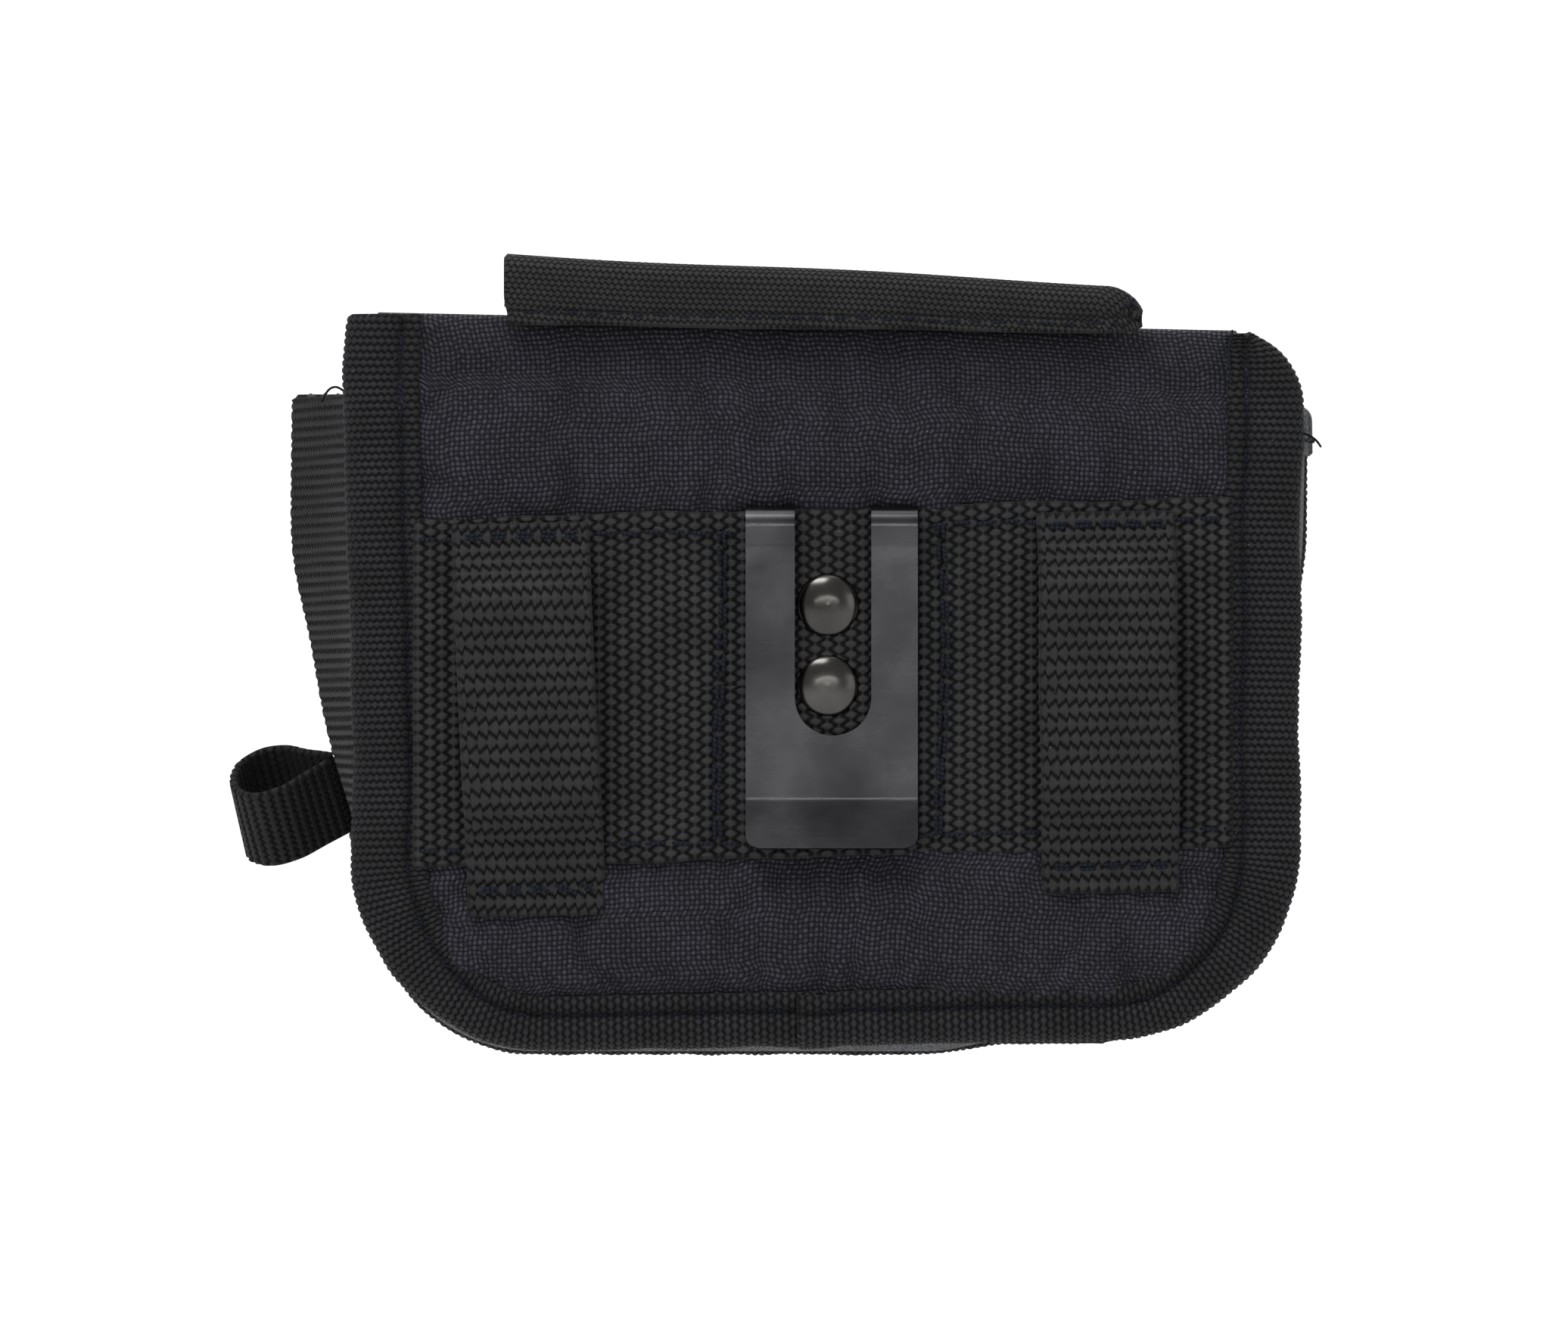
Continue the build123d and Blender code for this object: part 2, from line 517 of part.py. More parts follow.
bend_origin = bend.position
fold_origin = fold.position
axis = (cos(radians(TOP_TILT)), 0, -sin(radians(TOP_TILT)))
print("flap fold at", [round(v, 2) for v in fold_origin], "axis", [round(v, 5) for v in axis])
print("flap bend at", [round(v, 2) for v in bend_origin])
print("clip hinge at y", round(BEND_Y, 3), "z", round(BEND_Z, 3))
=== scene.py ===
# %% [markdown]
# # An electrician's belt pouch, looked at from its back
#
# The pouch is sewn from a handful of cloths: coarse ballistic cloth, three kinds of webbing, a ribbed edge
# tape and a grey grained gusset, with one steel clip riveted on. We model it the way it is sewn. Every
# strip of cloth is a thin closed sheet with its own weave, and each one is laid where the CAD solid of the
# same name already stands. The CAD solids give size, place and motion; this script gives the looks.

# %% Load the CAD frame
import json
import math
import bpy
import numpy as np
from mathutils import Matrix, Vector
from mathutils.bvhtree import BVHTree


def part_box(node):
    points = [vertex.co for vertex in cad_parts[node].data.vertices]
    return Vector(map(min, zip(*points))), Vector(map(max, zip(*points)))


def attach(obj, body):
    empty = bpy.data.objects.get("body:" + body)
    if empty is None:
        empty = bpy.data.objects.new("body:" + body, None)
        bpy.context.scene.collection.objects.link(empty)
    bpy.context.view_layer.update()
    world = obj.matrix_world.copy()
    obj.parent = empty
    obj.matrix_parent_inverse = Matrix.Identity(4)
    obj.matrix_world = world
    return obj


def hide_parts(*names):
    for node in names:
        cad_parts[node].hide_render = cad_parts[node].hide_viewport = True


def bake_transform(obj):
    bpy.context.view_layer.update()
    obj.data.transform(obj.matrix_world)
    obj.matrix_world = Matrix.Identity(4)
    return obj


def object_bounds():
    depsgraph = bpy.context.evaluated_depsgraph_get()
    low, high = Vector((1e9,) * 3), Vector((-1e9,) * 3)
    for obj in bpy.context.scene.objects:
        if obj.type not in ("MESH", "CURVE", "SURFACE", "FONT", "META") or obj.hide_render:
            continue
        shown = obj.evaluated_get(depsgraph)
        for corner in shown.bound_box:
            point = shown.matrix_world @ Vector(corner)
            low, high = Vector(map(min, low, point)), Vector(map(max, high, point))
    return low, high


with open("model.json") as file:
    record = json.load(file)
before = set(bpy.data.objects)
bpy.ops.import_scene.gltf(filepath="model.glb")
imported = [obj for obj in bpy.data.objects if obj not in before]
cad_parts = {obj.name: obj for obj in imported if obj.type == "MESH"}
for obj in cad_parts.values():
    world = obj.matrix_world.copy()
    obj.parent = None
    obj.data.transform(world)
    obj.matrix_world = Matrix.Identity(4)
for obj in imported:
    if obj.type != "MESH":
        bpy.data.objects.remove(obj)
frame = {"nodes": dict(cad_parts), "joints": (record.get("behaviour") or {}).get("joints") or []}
cad_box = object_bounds()
MM = 0.001
REARWARDS, FORWARDS = (0, -1, 0), (0, 1, 0)

# %% [markdown]
# ## Measuring the frame
#
# Places and sizes are measured on the CAD frame where it can give them. A box says how far a CAD node
# reaches, and a ray that is shot at a node says where its skin is, the way a feeler gauge would. Small
# offsets, tones and lamps are judged. All our own numbers are millimetres.

# %% Boxes and rays
def span(*nodes):
    """Lowest and highest corner of some CAD nodes."""
    corners = [np.array(corner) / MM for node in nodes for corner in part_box(node)]
    return np.min(corners, axis=0), np.max(corners, axis=0)


skins = {}


def touch(nodes, start, way):
    """Where a ray first meets any of the CAD nodes."""
    best = None
    for node in nodes:
        if node not in skins:
            mesh = frame["nodes"][node].data
            faces = [tuple(face.vertices) for face in mesh.polygons]
            skins[node] = BVHTree.FromPolygons([v.co for v in mesh.vertices], faces)
        point, _, _, far = skins[node].ray_cast(Vector(start) * MM, Vector(way))
        if point is not None and (best is None or far < best[0]):
            best = (far, np.array(point) / MM)
    return None if best is None else best[1]


def joint_place(name):
    """Where a CAD joint is."""
    joint = next(j for j in frame["joints"] if j["name"] == name)
    return np.array(joint["pos_m"]) / MM


TAPES = ["edge_binding_left", "edge_binding_right"]
fold_at = joint_place("flap_lift")
bend_at = joint_place("flap_fold")
print("flap folds at", fold_at.round(1), "and bends at", bend_at.round(1))

# %% [markdown]
# ## Curves, swells and cloth sheets
#
# Sewn things have no hard corners, so an outline is a smooth curve through a few points, cut into even
# steps. Real cloth is never quite flat either: a few long sine swells, drawn from a fixed seed, stand for
# the unevenness of hand-guided sewing, and come out the same on every run.

# %% Curves and swells
def unit(ways):
    """The same ways, each made one long."""
    return ways / np.linalg.norm(ways, axis=-1, keepdims=True)


def tangents(points):
    """The way a line of points runs, at each of them."""
    return unit(np.gradient(points, axis=0))


def run_of(points):
    """How far along a line each of its points is."""
    return np.concatenate([[0], np.cumsum(np.linalg.norm(np.diff(points, axis=0), axis=1))])


def sample(points, run, places):
    """Points of a line at some places along its run."""
    return np.stack([np.interp(places, run, column) for column in points.T], 1)


def resample(points, count):
    """A given number of points, evenly picked along a line of them."""
    return sample(points, np.arange(len(points)), np.linspace(0, len(points) - 1, count))


def smooth(points, passes):
    """Round off a line of points in place. Its ends stay."""
    for _ in range(passes):
        points[1:-1] = (points[:-2] + 2 * points[1:-1] + points[2:]) / 4


def even(points, step):
    """Even steps along a line."""
    points = np.asarray(points, float)
    run = run_of(points)
    return sample(points, run, np.linspace(0, run[-1], max(2, round(run[-1] / step) + 1)))


def curve(points, step):
    """Even steps along a smooth curve through a few points."""
    points = np.asarray(points, float)
    guide = np.vstack([2 * points[0] - points[1], points, 2 * points[-1] - points[-2]])
    t = np.linspace(0, 1, 20, endpoint=False)[:, None]
    runs = []
    for a, b, c, d in zip(guide, guide[1:], guide[2:], guide[3:]):
        runs.append(b + 0.5 * t * (c - a + t * (2 * a - 5 * b + 4 * c - d + t * (3 * (b - c) + d - a))))
    return even(np.vstack([*runs, points[-1:]]), step)


def swell(x, z, size, seed):
    """Uneven swells of about the given size, between about -1 and 1."""
    draw = np.random.default_rng(seed)
    total = np.zeros(np.broadcast(x, z).shape)
    for _ in range(7):
        turn, phase = draw.uniform(0, 2 * math.pi, 2)
        pace = 2 * math.pi * draw.uniform(0.6, 1.5) / size
        total += np.sin(pace * (x * math.cos(turn) + z * math.sin(turn)) + phase)
    return total / 3.5


def ease(t):
    """Smooth rise from 0 to 1."""
    t = np.clip(t, 0, 1)
    return t * t * (3 - 2 * t)


def spread(points, count):
    """A given number of even points along a smooth curve."""
    return resample(curve(points, 0.05), count)


print("a curve of", len(curve([(0, 0), (5, 3), (10, 0)], 0.5)), "points")

# %% [markdown]
# Every piece of cloth is the same thing: a middle surface given as a grid of points, made thick to both
# sides and closed with a rounded rim. The grid's own lengths are kept in a UV map called cloth, in
# millimetres, so that a weave of 0.9 mm is 0.9 mm on every piece, however the piece bends.

# %% A closed sheet of cloth
def grid_faces(rows, columns, start, turned):
    """Quads of a grid whose points are numbered from start."""
    corner = start + np.arange(rows - 1)[:, None] * columns + np.arange(columns - 1)
    quads = np.stack([corner, corner + columns, corner + columns + 1, corner + 1], -1).reshape(-1, 4)
    return quads[:, ::-1] if turned else quads


def lengths(middle):
    """The cloth's own flat coordinates: how far each point is along and across the sheet."""
    along = np.linalg.norm(np.diff(middle, axis=0), axis=2)
    across = np.linalg.norm(np.diff(middle, axis=1), axis=2)
    u = np.vstack([np.zeros(middle.shape[1]), np.cumsum(along, axis=0)])
    v = np.hstack([np.zeros((middle.shape[0], 1)), np.cumsum(across, axis=1)])
    return np.stack([u - u[-1:] / 2, v - v[:, -1:] / 2], -1)


def ring_faces(index):
    """Quads between rings of numbered points, closed all the way round."""
    beside = np.roll(index, -1, axis=1)
    return np.stack([index[:-1], beside[:-1], beside[1:], index[1:]], -1).reshape(-1, 4)


def add_object(name, data):
    """New object in the scene."""
    made = bpy.data.objects.new(name, data)
    bpy.context.scene.collection.objects.link(made)
    return made


def build(name, points, faces, cloth):
    """Smooth mesh object from points in millimetres."""
    mesh = bpy.data.meshes.new(name)
    mesh.from_pydata((np.asarray(points) * MM).tolist(), [], np.asarray(faces).tolist())
    loops = np.zeros(len(mesh.loops), np.int32)
    mesh.loops.foreach_get("vertex_index", loops)
    layer = mesh.uv_layers.new(name="cloth")
    layer.data.foreach_set("uv", np.asarray(cloth, np.float32)[loops].ravel())
    mesh.polygons.foreach_set("use_smooth", np.ones(len(mesh.polygons), bool))
    return add_object(name, mesh)


def sheet(name, middle, thick, face, relief=0.0, cloth=None):
    """Closed sheet round a middle surface. Relief lifts its outer face, which looks towards face."""
    rows, columns = middle.shape[:2]
    normal = unit(np.cross(np.gradient(middle, axis=0), np.gradient(middle, axis=1)))
    flip = normal[rows // 2, columns // 2] @ np.array(face, float) < 0
    normal = -normal if flip else normal
    relief = np.broadcast_to(relief, (rows, columns))[..., None]
    half = np.broadcast_to(thick, (rows, columns))[..., None] / 2
    cloth = lengths(middle) if cloth is None else cloth
    index = np.arange(rows * columns).reshape(rows, columns)
    edge = np.concatenate([index[:-1, 0], index[-1, :-1], index[:0:-1, -1], index[0, :0:-1]])
    inner = index[np.clip(edge // columns, 1, rows - 2), np.clip(edge % columns, 1, columns - 2)]
    flat = middle.reshape(-1, 3)
    outward = unit(flat[edge] - flat[inner])
    rim = flat[edge] + outward * half.reshape(-1, 1)[edge] * 0.8
    front = (middle + normal * (half + relief)).reshape(-1, 3)
    back = (middle - normal * (half + 0.4 * relief)).reshape(-1, 3)
    total = rows * columns
    ring = 2 * total + np.arange(len(edge))
    after, ring_after = np.roll(edge, -1), np.roll(ring, -1)
    strips = np.vstack([np.stack([after, edge, ring, ring_after], 1),
                        np.stack([ring_after, ring, edge + total, after + total], 1)])
    faces = np.vstack([grid_faces(rows, columns, 0, flip), grid_faces(rows, columns, total, not flip),
                       strips[:, ::-1] if flip else strips])
    maps = cloth.reshape(-1, 2)
    return build(name, np.vstack([front, back, rim]), faces, np.vstack([maps, maps, maps[edge]]))


print("sheet builder ready")

# %% [markdown]
# ## Shader effects that the finishes share
#
# All these cloths are dark, so what tells them apart is their weave: where the light catches a rib and
# where a groove goes black. We work the weave out with arithmetic nodes from the cloth coordinates. Each
# effect is a node group with named sockets, and every finish sets its own pitch and strength.

# %% A short way to write node groups
class Group:
    """A shader node group under construction."""

    def __init__(self, name, inputs, outputs):
        self.tree = bpy.data.node_groups.new(name, "ShaderNodeTree")
        for socket, value in inputs.items():
            kind = "NodeSocketVector" if value is None else "NodeSocketFloat"
            made = self.tree.interface.new_socket(name=socket, in_out="INPUT", socket_type=kind)
            if value is not None:
                made.default_value = value
        for socket in outputs:
            self.tree.interface.new_socket(name=socket, in_out="OUTPUT", socket_type="NodeSocketFloat")
        self.given = self.tree.nodes.new("NodeGroupInput").outputs
        self.result = self.tree.nodes.new("NodeGroupOutput").inputs

    def node(self, kind, **links):
        return add_node(self.tree, kind, **links)

    def math(self, operation, *values):
        return add_math(self.tree, operation, *values)

    def give(self, **results):
        for socket, value in results.items():
            self.tree.links.new(value, self.result[socket])


def connect(tree, socket, value):
    """Link a socket to another, or set its value."""
    if isinstance(value, bpy.types.NodeSocket):
        tree.links.new(value, socket)
    elif value is not None:
        socket.default_value = value


def add_node(tree, kind, **links):
    """New node; underscores in the names of its inputs stand for spaces."""
    made = tree.nodes.new(kind)
    for socket, value in links.items():
        connect(tree, made.inputs[socket.replace("_", " ")], value)
    return made


def add_math(tree, operation, *values):
    """New arithmetic node's result."""
    made = tree.nodes.new("ShaderNodeMath")
    made.operation = operation
    for socket, value in zip(made.inputs, values):
        connect(tree, socket, value)
    return made.outputs[0]


print("node helpers ready")

# %% [markdown]
# Webbing is woven in ribs. Between two ribs runs a dark groove that swings from side to side, because the
# yarns of one rib reach under its neighbour. The group measures how far a point is from the nearest
# groove. The same formula, written for whole grids of points, lifts the real mesh, so the ribs also show
# at the silhouette.

# %% Ribs: the same weave for the mesh and for the shader
def ribs(along, across, pitch, step, swing, snap=1.2, skew=0.0):
    """Height of ribbed webbing, from 0 in the grooves to 1 on the ribs."""
    phase = 2 * math.pi * across / step
    bent = phase + skew * np.sin(phase)
    wave = np.tanh(snap * np.sin(bent)) / math.tanh(snap)
    row = np.floor(along / pitch)
    side = np.where(row % 2, -1.0, 1.0) * swing * wave
    inside = along - row * pitch
    gap = np.minimum(np.abs(inside - side), np.abs(pitch - inside - side))
    return ease(gap / (0.34 * pitch))


def make_ribs_group():
    """Shader twin of ribs()."""
    g = Group("webbing_ribs", {"Along": 0.0, "Across": 0.0, "Pitch": 1.8, "Step": 1.5, "Swing": 0.3,
                               "Snap": 1.2, "Skew": 0.0, "Groove": 0.3}, ["Height", "Stroke"])
    phase = g.math("MULTIPLY", g.math("DIVIDE", g.given["Across"], g.given["Step"]), 2 * math.pi)
    bent = g.math("ADD", phase, g.math("MULTIPLY", g.given["Skew"], g.math("SINE", phase)))
    pushed = g.math("TANH", g.math("MULTIPLY", g.given["Snap"], g.math("SINE", bent)))
    wave = g.math("DIVIDE", pushed, g.math("TANH", g.given["Snap"]))
    rows = g.math("DIVIDE", g.given["Along"], g.given["Pitch"])
    row = g.math("FLOOR", rows)
    sign = g.math("COSINE", g.math("MULTIPLY", row, math.pi))
    side = g.math("MULTIPLY", g.math("MULTIPLY", sign, g.given["Swing"]), wave)
    inside = g.math("MULTIPLY", g.math("SUBTRACT", rows, row), g.given["Pitch"])
    near = g.math("ABSOLUTE", g.math("SUBTRACT", inside, side))
    far = g.math("SUBTRACT", g.math("SUBTRACT", g.given["Pitch"], inside), side)
    gap = g.math("MINIMUM", near, g.math("ABSOLUTE", far))
    rise = g.node("ShaderNodeMapRange", Value=gap, From_Max=g.given["Groove"])
    rise.interpolation_type = "SMOOTHSTEP"
    stroke = g.math("MULTIPLY_ADD", g.math("COSINE", phase), 0.5, 0.5)
    g.give(Height=rise.outputs[0], Stroke=stroke)
    return g.tree


# %% [markdown]
# Ballistic cloth is a plain weave of fat, slightly uneven yarns. A product of two sines has one crown for
# each crossing; its sign says whether the warp or the weft lies on top there. A little noise in the
# coordinates makes the yarns wander, and a random number for each crossing makes some crowns shine.

# %% Plain weave, yarn strands and lint
def make_weave_group():
    """Crossings of a plain weave."""
    g = Group("plain_weave", {"Along": 0.0, "Across": 0.0, "Pitch": 0.9, "Wander": 0.2},
              ["Height", "Warp", "Chance"])
    place = g.node("ShaderNodeCombineXYZ", X=g.given["Along"], Y=g.given["Across"])
    noise = g.node("ShaderNodeTexNoise", Vector=place.outputs[0], Scale=0.55, Detail=3.0)
    parts = g.node("ShaderNodeSeparateColor", Color=noise.outputs["Color"])
    moved = []
    for side, part in ((g.given["Along"], "Red"), (g.given["Across"], "Green")):
        drift = g.math("MULTIPLY", g.math("SUBTRACT", parts.outputs[part], 0.5), g.given["Wander"])
        moved.append(g.math("DIVIDE", g.math("ADD", side, drift), g.given["Pitch"]))
    waves = [g.math("SINE", g.math("MULTIPLY", value, math.pi)) for value in moved]
    product = g.math("MULTIPLY", *waves)
    crown = g.math("POWER", g.math("ABSOLUTE", product), 0.55)
    warp = g.math("GREATER_THAN", product, 0.0)
    cell = g.node("ShaderNodeCombineXYZ", X=g.math("FLOOR", moved[0]), Y=g.math("FLOOR", moved[1]))
    chance = g.node("ShaderNodeTexWhiteNoise", Vector=cell.outputs[0])
    g.give(Height=crown, Warp=warp, Chance=chance.outputs["Value"])
    return g.tree


def make_strand_group():
    """Fine parallel filaments of a yarn, running along, with tone that drifts from yarn to yarn."""
    g = Group("yarn_strands", {"Along": 0.0, "Across": 0.0, "Fineness": 7.0}, ["Strand", "Drift"])
    long_way = g.math("MULTIPLY", g.given["Along"], 0.9)
    short_way = g.math("MULTIPLY", g.given["Across"], g.given["Fineness"])
    place = g.node("ShaderNodeCombineXYZ", X=long_way, Y=short_way)
    fine = g.node("ShaderNodeTexNoise", Vector=place.outputs[0], Scale=1.0, Detail=2.0)
    wide = g.node("ShaderNodeCombineXYZ", X=g.given["Along"], Y=g.given["Across"])
    drift = g.node("ShaderNodeTexNoise", Vector=wide.outputs[0], Scale=0.12, Detail=4.0)
    g.give(Strand=fine.outputs["Fac"], Drift=drift.outputs["Fac"])
    return g.tree


def make_lint_group():
    """Sparse specks of dust and lint."""
    g = Group("lint_specks", {"Place": None, "Amount": 0.5}, ["Speck"])
    spots = g.node("ShaderNodeTexVoronoi", Vector=g.given["Place"], Scale=1.1)
    chance = g.node("ShaderNodeSeparateColor", Color=spots.outputs["Color"])
    small = g.math("LESS_THAN", spots.outputs["Distance"], 0.085)
    rare = g.math("LESS_THAN", chance.outputs["Red"], g.math("MULTIPLY", g.given["Amount"], 0.1))
    g.give(Speck=g.math("MULTIPLY", small, rare))
    return g.tree


GROUPS = {"ribs": make_ribs_group(), "weave": make_weave_group(),
          "strands": make_strand_group(), "lint": make_lint_group()}
print("node groups:", sorted(GROUPS))

# %% [markdown]
# ## The cloth finishes
#
# One recipe makes every woven finish: grooves darkened with painted shade, lighter ribs, filaments that run
# along the yarn, a slow drift of tone, a few specks of lint and a soft sheen at grazing angles. A webbing
# differs from the next only in its pitches and tones.

# %% The recipe for a woven finish
def start_finish(name):
    """Empty material with its Principled shader and the cloth coordinates."""
    material = bpy.data.materials.new(name)
    material.use_nodes = True
    tree = material.node_tree
    tree.nodes.clear()
    shader = tree.nodes.new("ShaderNodeBsdfPrincipled")
    output = tree.nodes.new("ShaderNodeOutputMaterial")
    tree.links.new(shader.outputs[0], output.inputs[0])
    place = tree.nodes.new("ShaderNodeUVMap")
    place.uv_map = "cloth"
    parts = add_node(tree, "ShaderNodeSeparateXYZ", Vector=place.outputs[0])
    return material, tree, shader, place.outputs[0], parts.outputs


def add_group(tree, name, **links):
    """Place one of the shared groups."""
    made = tree.nodes.new("ShaderNodeGroup")
    made.node_tree = GROUPS[name]
    for socket, value in links.items():
        connect(tree, made.inputs[socket], value)
    return made.outputs


def blend_colour(tree, share, first, second, how="MIX"):
    """Mix two colours."""
    mix = tree.nodes.new("ShaderNodeMix")
    mix.data_type = "RGBA"
    mix.blend_type = how
    for index, value in ((0, share), (6, first), (7, second)):
        if isinstance(value, tuple):
            value = (*value, 1.0)
        connect(tree, mix.inputs[index], value)
    return mix.outputs[2]


def finish_cloth(tree, shader, place, height, drift, strand, tone, dark, bump, lint=0.5, gloss=0.62):
    """Colour, roughness and bump of a cloth, from the height of its weave."""
    lit = add_node(tree, "ShaderNodeMapRange", Value=drift, From_Min=0.3, From_Max=0.7,
                   To_Min=0.78, To_Max=1.25).outputs[0]
    grain = add_node(tree, "ShaderNodeMapRange", Value=strand, From_Min=0.25, From_Max=0.75,
                     To_Min=0.7, To_Max=1.3).outputs[0]
    strength = add_math(tree, "MULTIPLY", lit, grain)
    # the grooves take the near-black colour: painted shade in the hollows of the weave
    colour = blend_colour(tree, height, dark, tone)
    scaled = add_node(tree, "ShaderNodeVectorMath", Vector=colour)
    scaled.operation = "SCALE"
    connect(tree, scaled.inputs["Scale"], strength)
    speck = add_group(tree, "lint", Place=place, Amount=lint)["Speck"]
    dusty = blend_colour(tree, add_math(tree, "MULTIPLY", speck, 0.35), scaled.outputs[0], (0.35, 0.35, 0.36))
    connect(tree, shader.inputs["Base Color"], dusty)
    rough = add_node(tree, "ShaderNodeMapRange", Value=height, To_Min=0.95, To_Max=gloss).outputs[0]
    connect(tree, shader.inputs["Roughness"], rough)
    relief = add_math(tree, "MULTIPLY_ADD", strand, 0.22, height)
    lift = add_node(tree, "ShaderNodeBump", Height=relief, Strength=1.0, Distance=bump * MM)
    connect(tree, shader.inputs["Normal"], lift.outputs[0])
    shader.inputs["Sheen Weight"].default_value = 0.03
    shader.inputs["Sheen Roughness"].default_value = 0.45
    shader.inputs["Specular IOR Level"].default_value = 0.17


# %% [markdown]
# The five webbings and tapes. Pitch is the width of a rib and step the length of one turn of its groove.
# Swing is how far the groove sways, and snap and skew shape its turns. All five are judged.

# %% Webbings and tapes
WEAVES = {
    "wide_webbing": dict(pitch=1.78, step=1.56, swing=0.36, snap=1.6, skew=0.0),
    "narrow_webbing": dict(pitch=2.1, step=1.49, swing=0.46, snap=0.8, skew=0.8),
    "sleeve_webbing": dict(pitch=0.76, step=0.98, swing=0.16, snap=0.9, skew=0.0),
    "side_webbing": dict(pitch=1.45, step=1.1, swing=0.16, snap=0.9, skew=0.0),
    "binding_tape": dict(pitch=1.08, step=1.0, swing=0.16, snap=0.8, skew=0.0),
}
# each webbing's rib tone, then its near-black groove colour, which is painted shade
TONES = {
    "wide_webbing": ((0.0195, 0.019, 0.0205), (0.001, 0.001, 0.0015)),
    "narrow_webbing": ((0.0165, 0.016, 0.017), (0.001, 0.001, 0.0015)),
    "sleeve_webbing": ((0.0175, 0.0171, 0.0176), (0.001, 0.001, 0.0015)),
    # the side webbing is toned far darker than the rest: painted shade for the tool loop, which hangs in
    # shade at the lower left, and the side strip shares it
    "side_webbing": ((0.0066, 0.0066, 0.0076), (0.001, 0.001, 0.0012)),
    "binding_tape": ((0.0133, 0.0131, 0.0152), (0.001, 0.001, 0.0015)),
}


def webbing_finish(name, groove, bump):
    """Ribbed webbing or tape."""
    material, tree, shader, place, parts = start_finish(name)
    weave = WEAVES[name]
    woven = add_group(tree, "ribs", Along=parts["X"], Across=parts["Y"], Pitch=weave["pitch"],
                      Step=weave["step"], Swing=weave["swing"], Snap=weave["snap"],
                      Skew=weave["skew"], Groove=groove)
    strands = add_group(tree, "strands", Along=parts["X"], Across=parts["Y"], Fineness=6.5)
    soft = add_math(tree, "SUBTRACT", 1.0, woven["Height"])
    held = add_math(tree, "MULTIPLY", soft, add_math(tree, "MULTIPLY_ADD", woven["Stroke"], 0.3, 0.7))
    height = add_math(tree, "POWER", add_math(tree, "SUBTRACT", 1.0, held), 1.6)
    finish_cloth(tree, shader, place, height, strands["Drift"], strands["Strand"], *TONES[name], bump)
    return material


FINISH = {
    "wide_webbing": webbing_finish("wide_webbing", 0.62, 0.34),
    "narrow_webbing": webbing_finish("narrow_webbing", 0.52, 0.3),
    "sleeve_webbing": webbing_finish("sleeve_webbing", 0.26, 0.18),
    "side_webbing": webbing_finish("side_webbing", 0.42, 0.22),
    "binding_tape": webbing_finish("binding_tape", 0.42, 0.24),
}
print("webbings:", sorted(FINISH))

# %% [markdown]
# Ballistic cloth, its thin coated lining, and the pile of the hook-and-loop closure. The cloth is navy
# black: its crowns are a little bluer than the gaps, and a few catch the light.

# %% Cloth, lining and pile
def plain_cloth_finish(name, pitch, wander, tone, dark, bump, shine=0.0, gloss=0.6):
    """Plain-woven cloth."""
    material, tree, shader, place, parts = start_finish(name)
    woven = add_group(tree, "weave", Along=parts["X"], Across=parts["Y"], Pitch=pitch, Wander=wander)
    strands = add_group(tree, "strands", Along=parts["X"], Across=parts["Y"], Fineness=5.0)
    over = add_math(tree, "MULTIPLY_ADD", woven["Warp"], 0.62, 0.48)
    glint = add_node(tree, "ShaderNodeMapRange", Value=woven["Chance"], From_Min=0.55, To_Max=shine)
    height = add_math(tree, "MULTIPLY", add_math(tree, "POWER", woven["Height"], 1.7), over)
    bright = add_math(tree, "MULTIPLY", height, add_math(tree, "ADD", 1.0, glint.outputs[0]))
    finish_cloth(tree, shader, place, bright, strands["Drift"], strands["Strand"], tone, dark, bump,
                 gloss=gloss)
    return material


# the second colour of each cloth fills the gaps between its crowns: painted shade
FINISH["ballistic_cloth"] = plain_cloth_finish("ballistic_cloth", 0.74, 0.4, (0.036, 0.035, 0.047),
                                               (0.002, 0.002, 0.004), 0.26, shine=1.1, gloss=0.46)
FINISH["lining_cloth"] = plain_cloth_finish("lining_cloth", 0.4, 0.15, (0.04, 0.041, 0.046),
                                            (0.018, 0.018, 0.02), 0.06)
FINISH["hook_and_loop"] = plain_cloth_finish("hook_and_loop", 1.1, 1.6, (0.03, 0.03, 0.033),
                                             (0.004, 0.004, 0.005), 0.5)
FINISH["foam_board"] = plain_cloth_finish("foam_board", 0.8, 2.5, (0.06, 0.06, 0.062),
                                          (0.03, 0.03, 0.032), 0.1)
print("finishes so far:", len(FINISH))

# %% [markdown]
# ## Grained sheet, steel and thread
#
# The gusset is a grey grained sheet: cells of a Voronoi pattern with dark creases between them. The clip is
# spring steel with a satin black oxide, brushed a little by handling, and paler in scattered smudges.
# The sewing thread is twisted, so fine diagonal stripes cross each stitch.

# %% Grained gusset
def gusset_finish():
    material, tree, shader, place, parts = start_finish("grey_gusset")
    cells = add_node(tree, "ShaderNodeTexVoronoi", Vector=place, Scale=1.6)
    cells.feature = "DISTANCE_TO_EDGE"
    grain = add_node(tree, "ShaderNodeMapRange", Value=cells.outputs["Distance"], From_Max=0.22).outputs[0]
    strands = add_group(tree, "strands", Along=parts["X"], Across=parts["Y"], Fineness=2.0)
    finish_cloth(tree, shader, place, grain, strands["Drift"], strands["Strand"],
                 (0.062, 0.064, 0.070), (0.03, 0.031, 0.034), 0.05, gloss=0.45)
    return material


# %% [markdown]
# Steel needs no cloth coordinates. It reads the object's own coordinates in metres, so the fine brushing
# and the smudges have a real size as well.

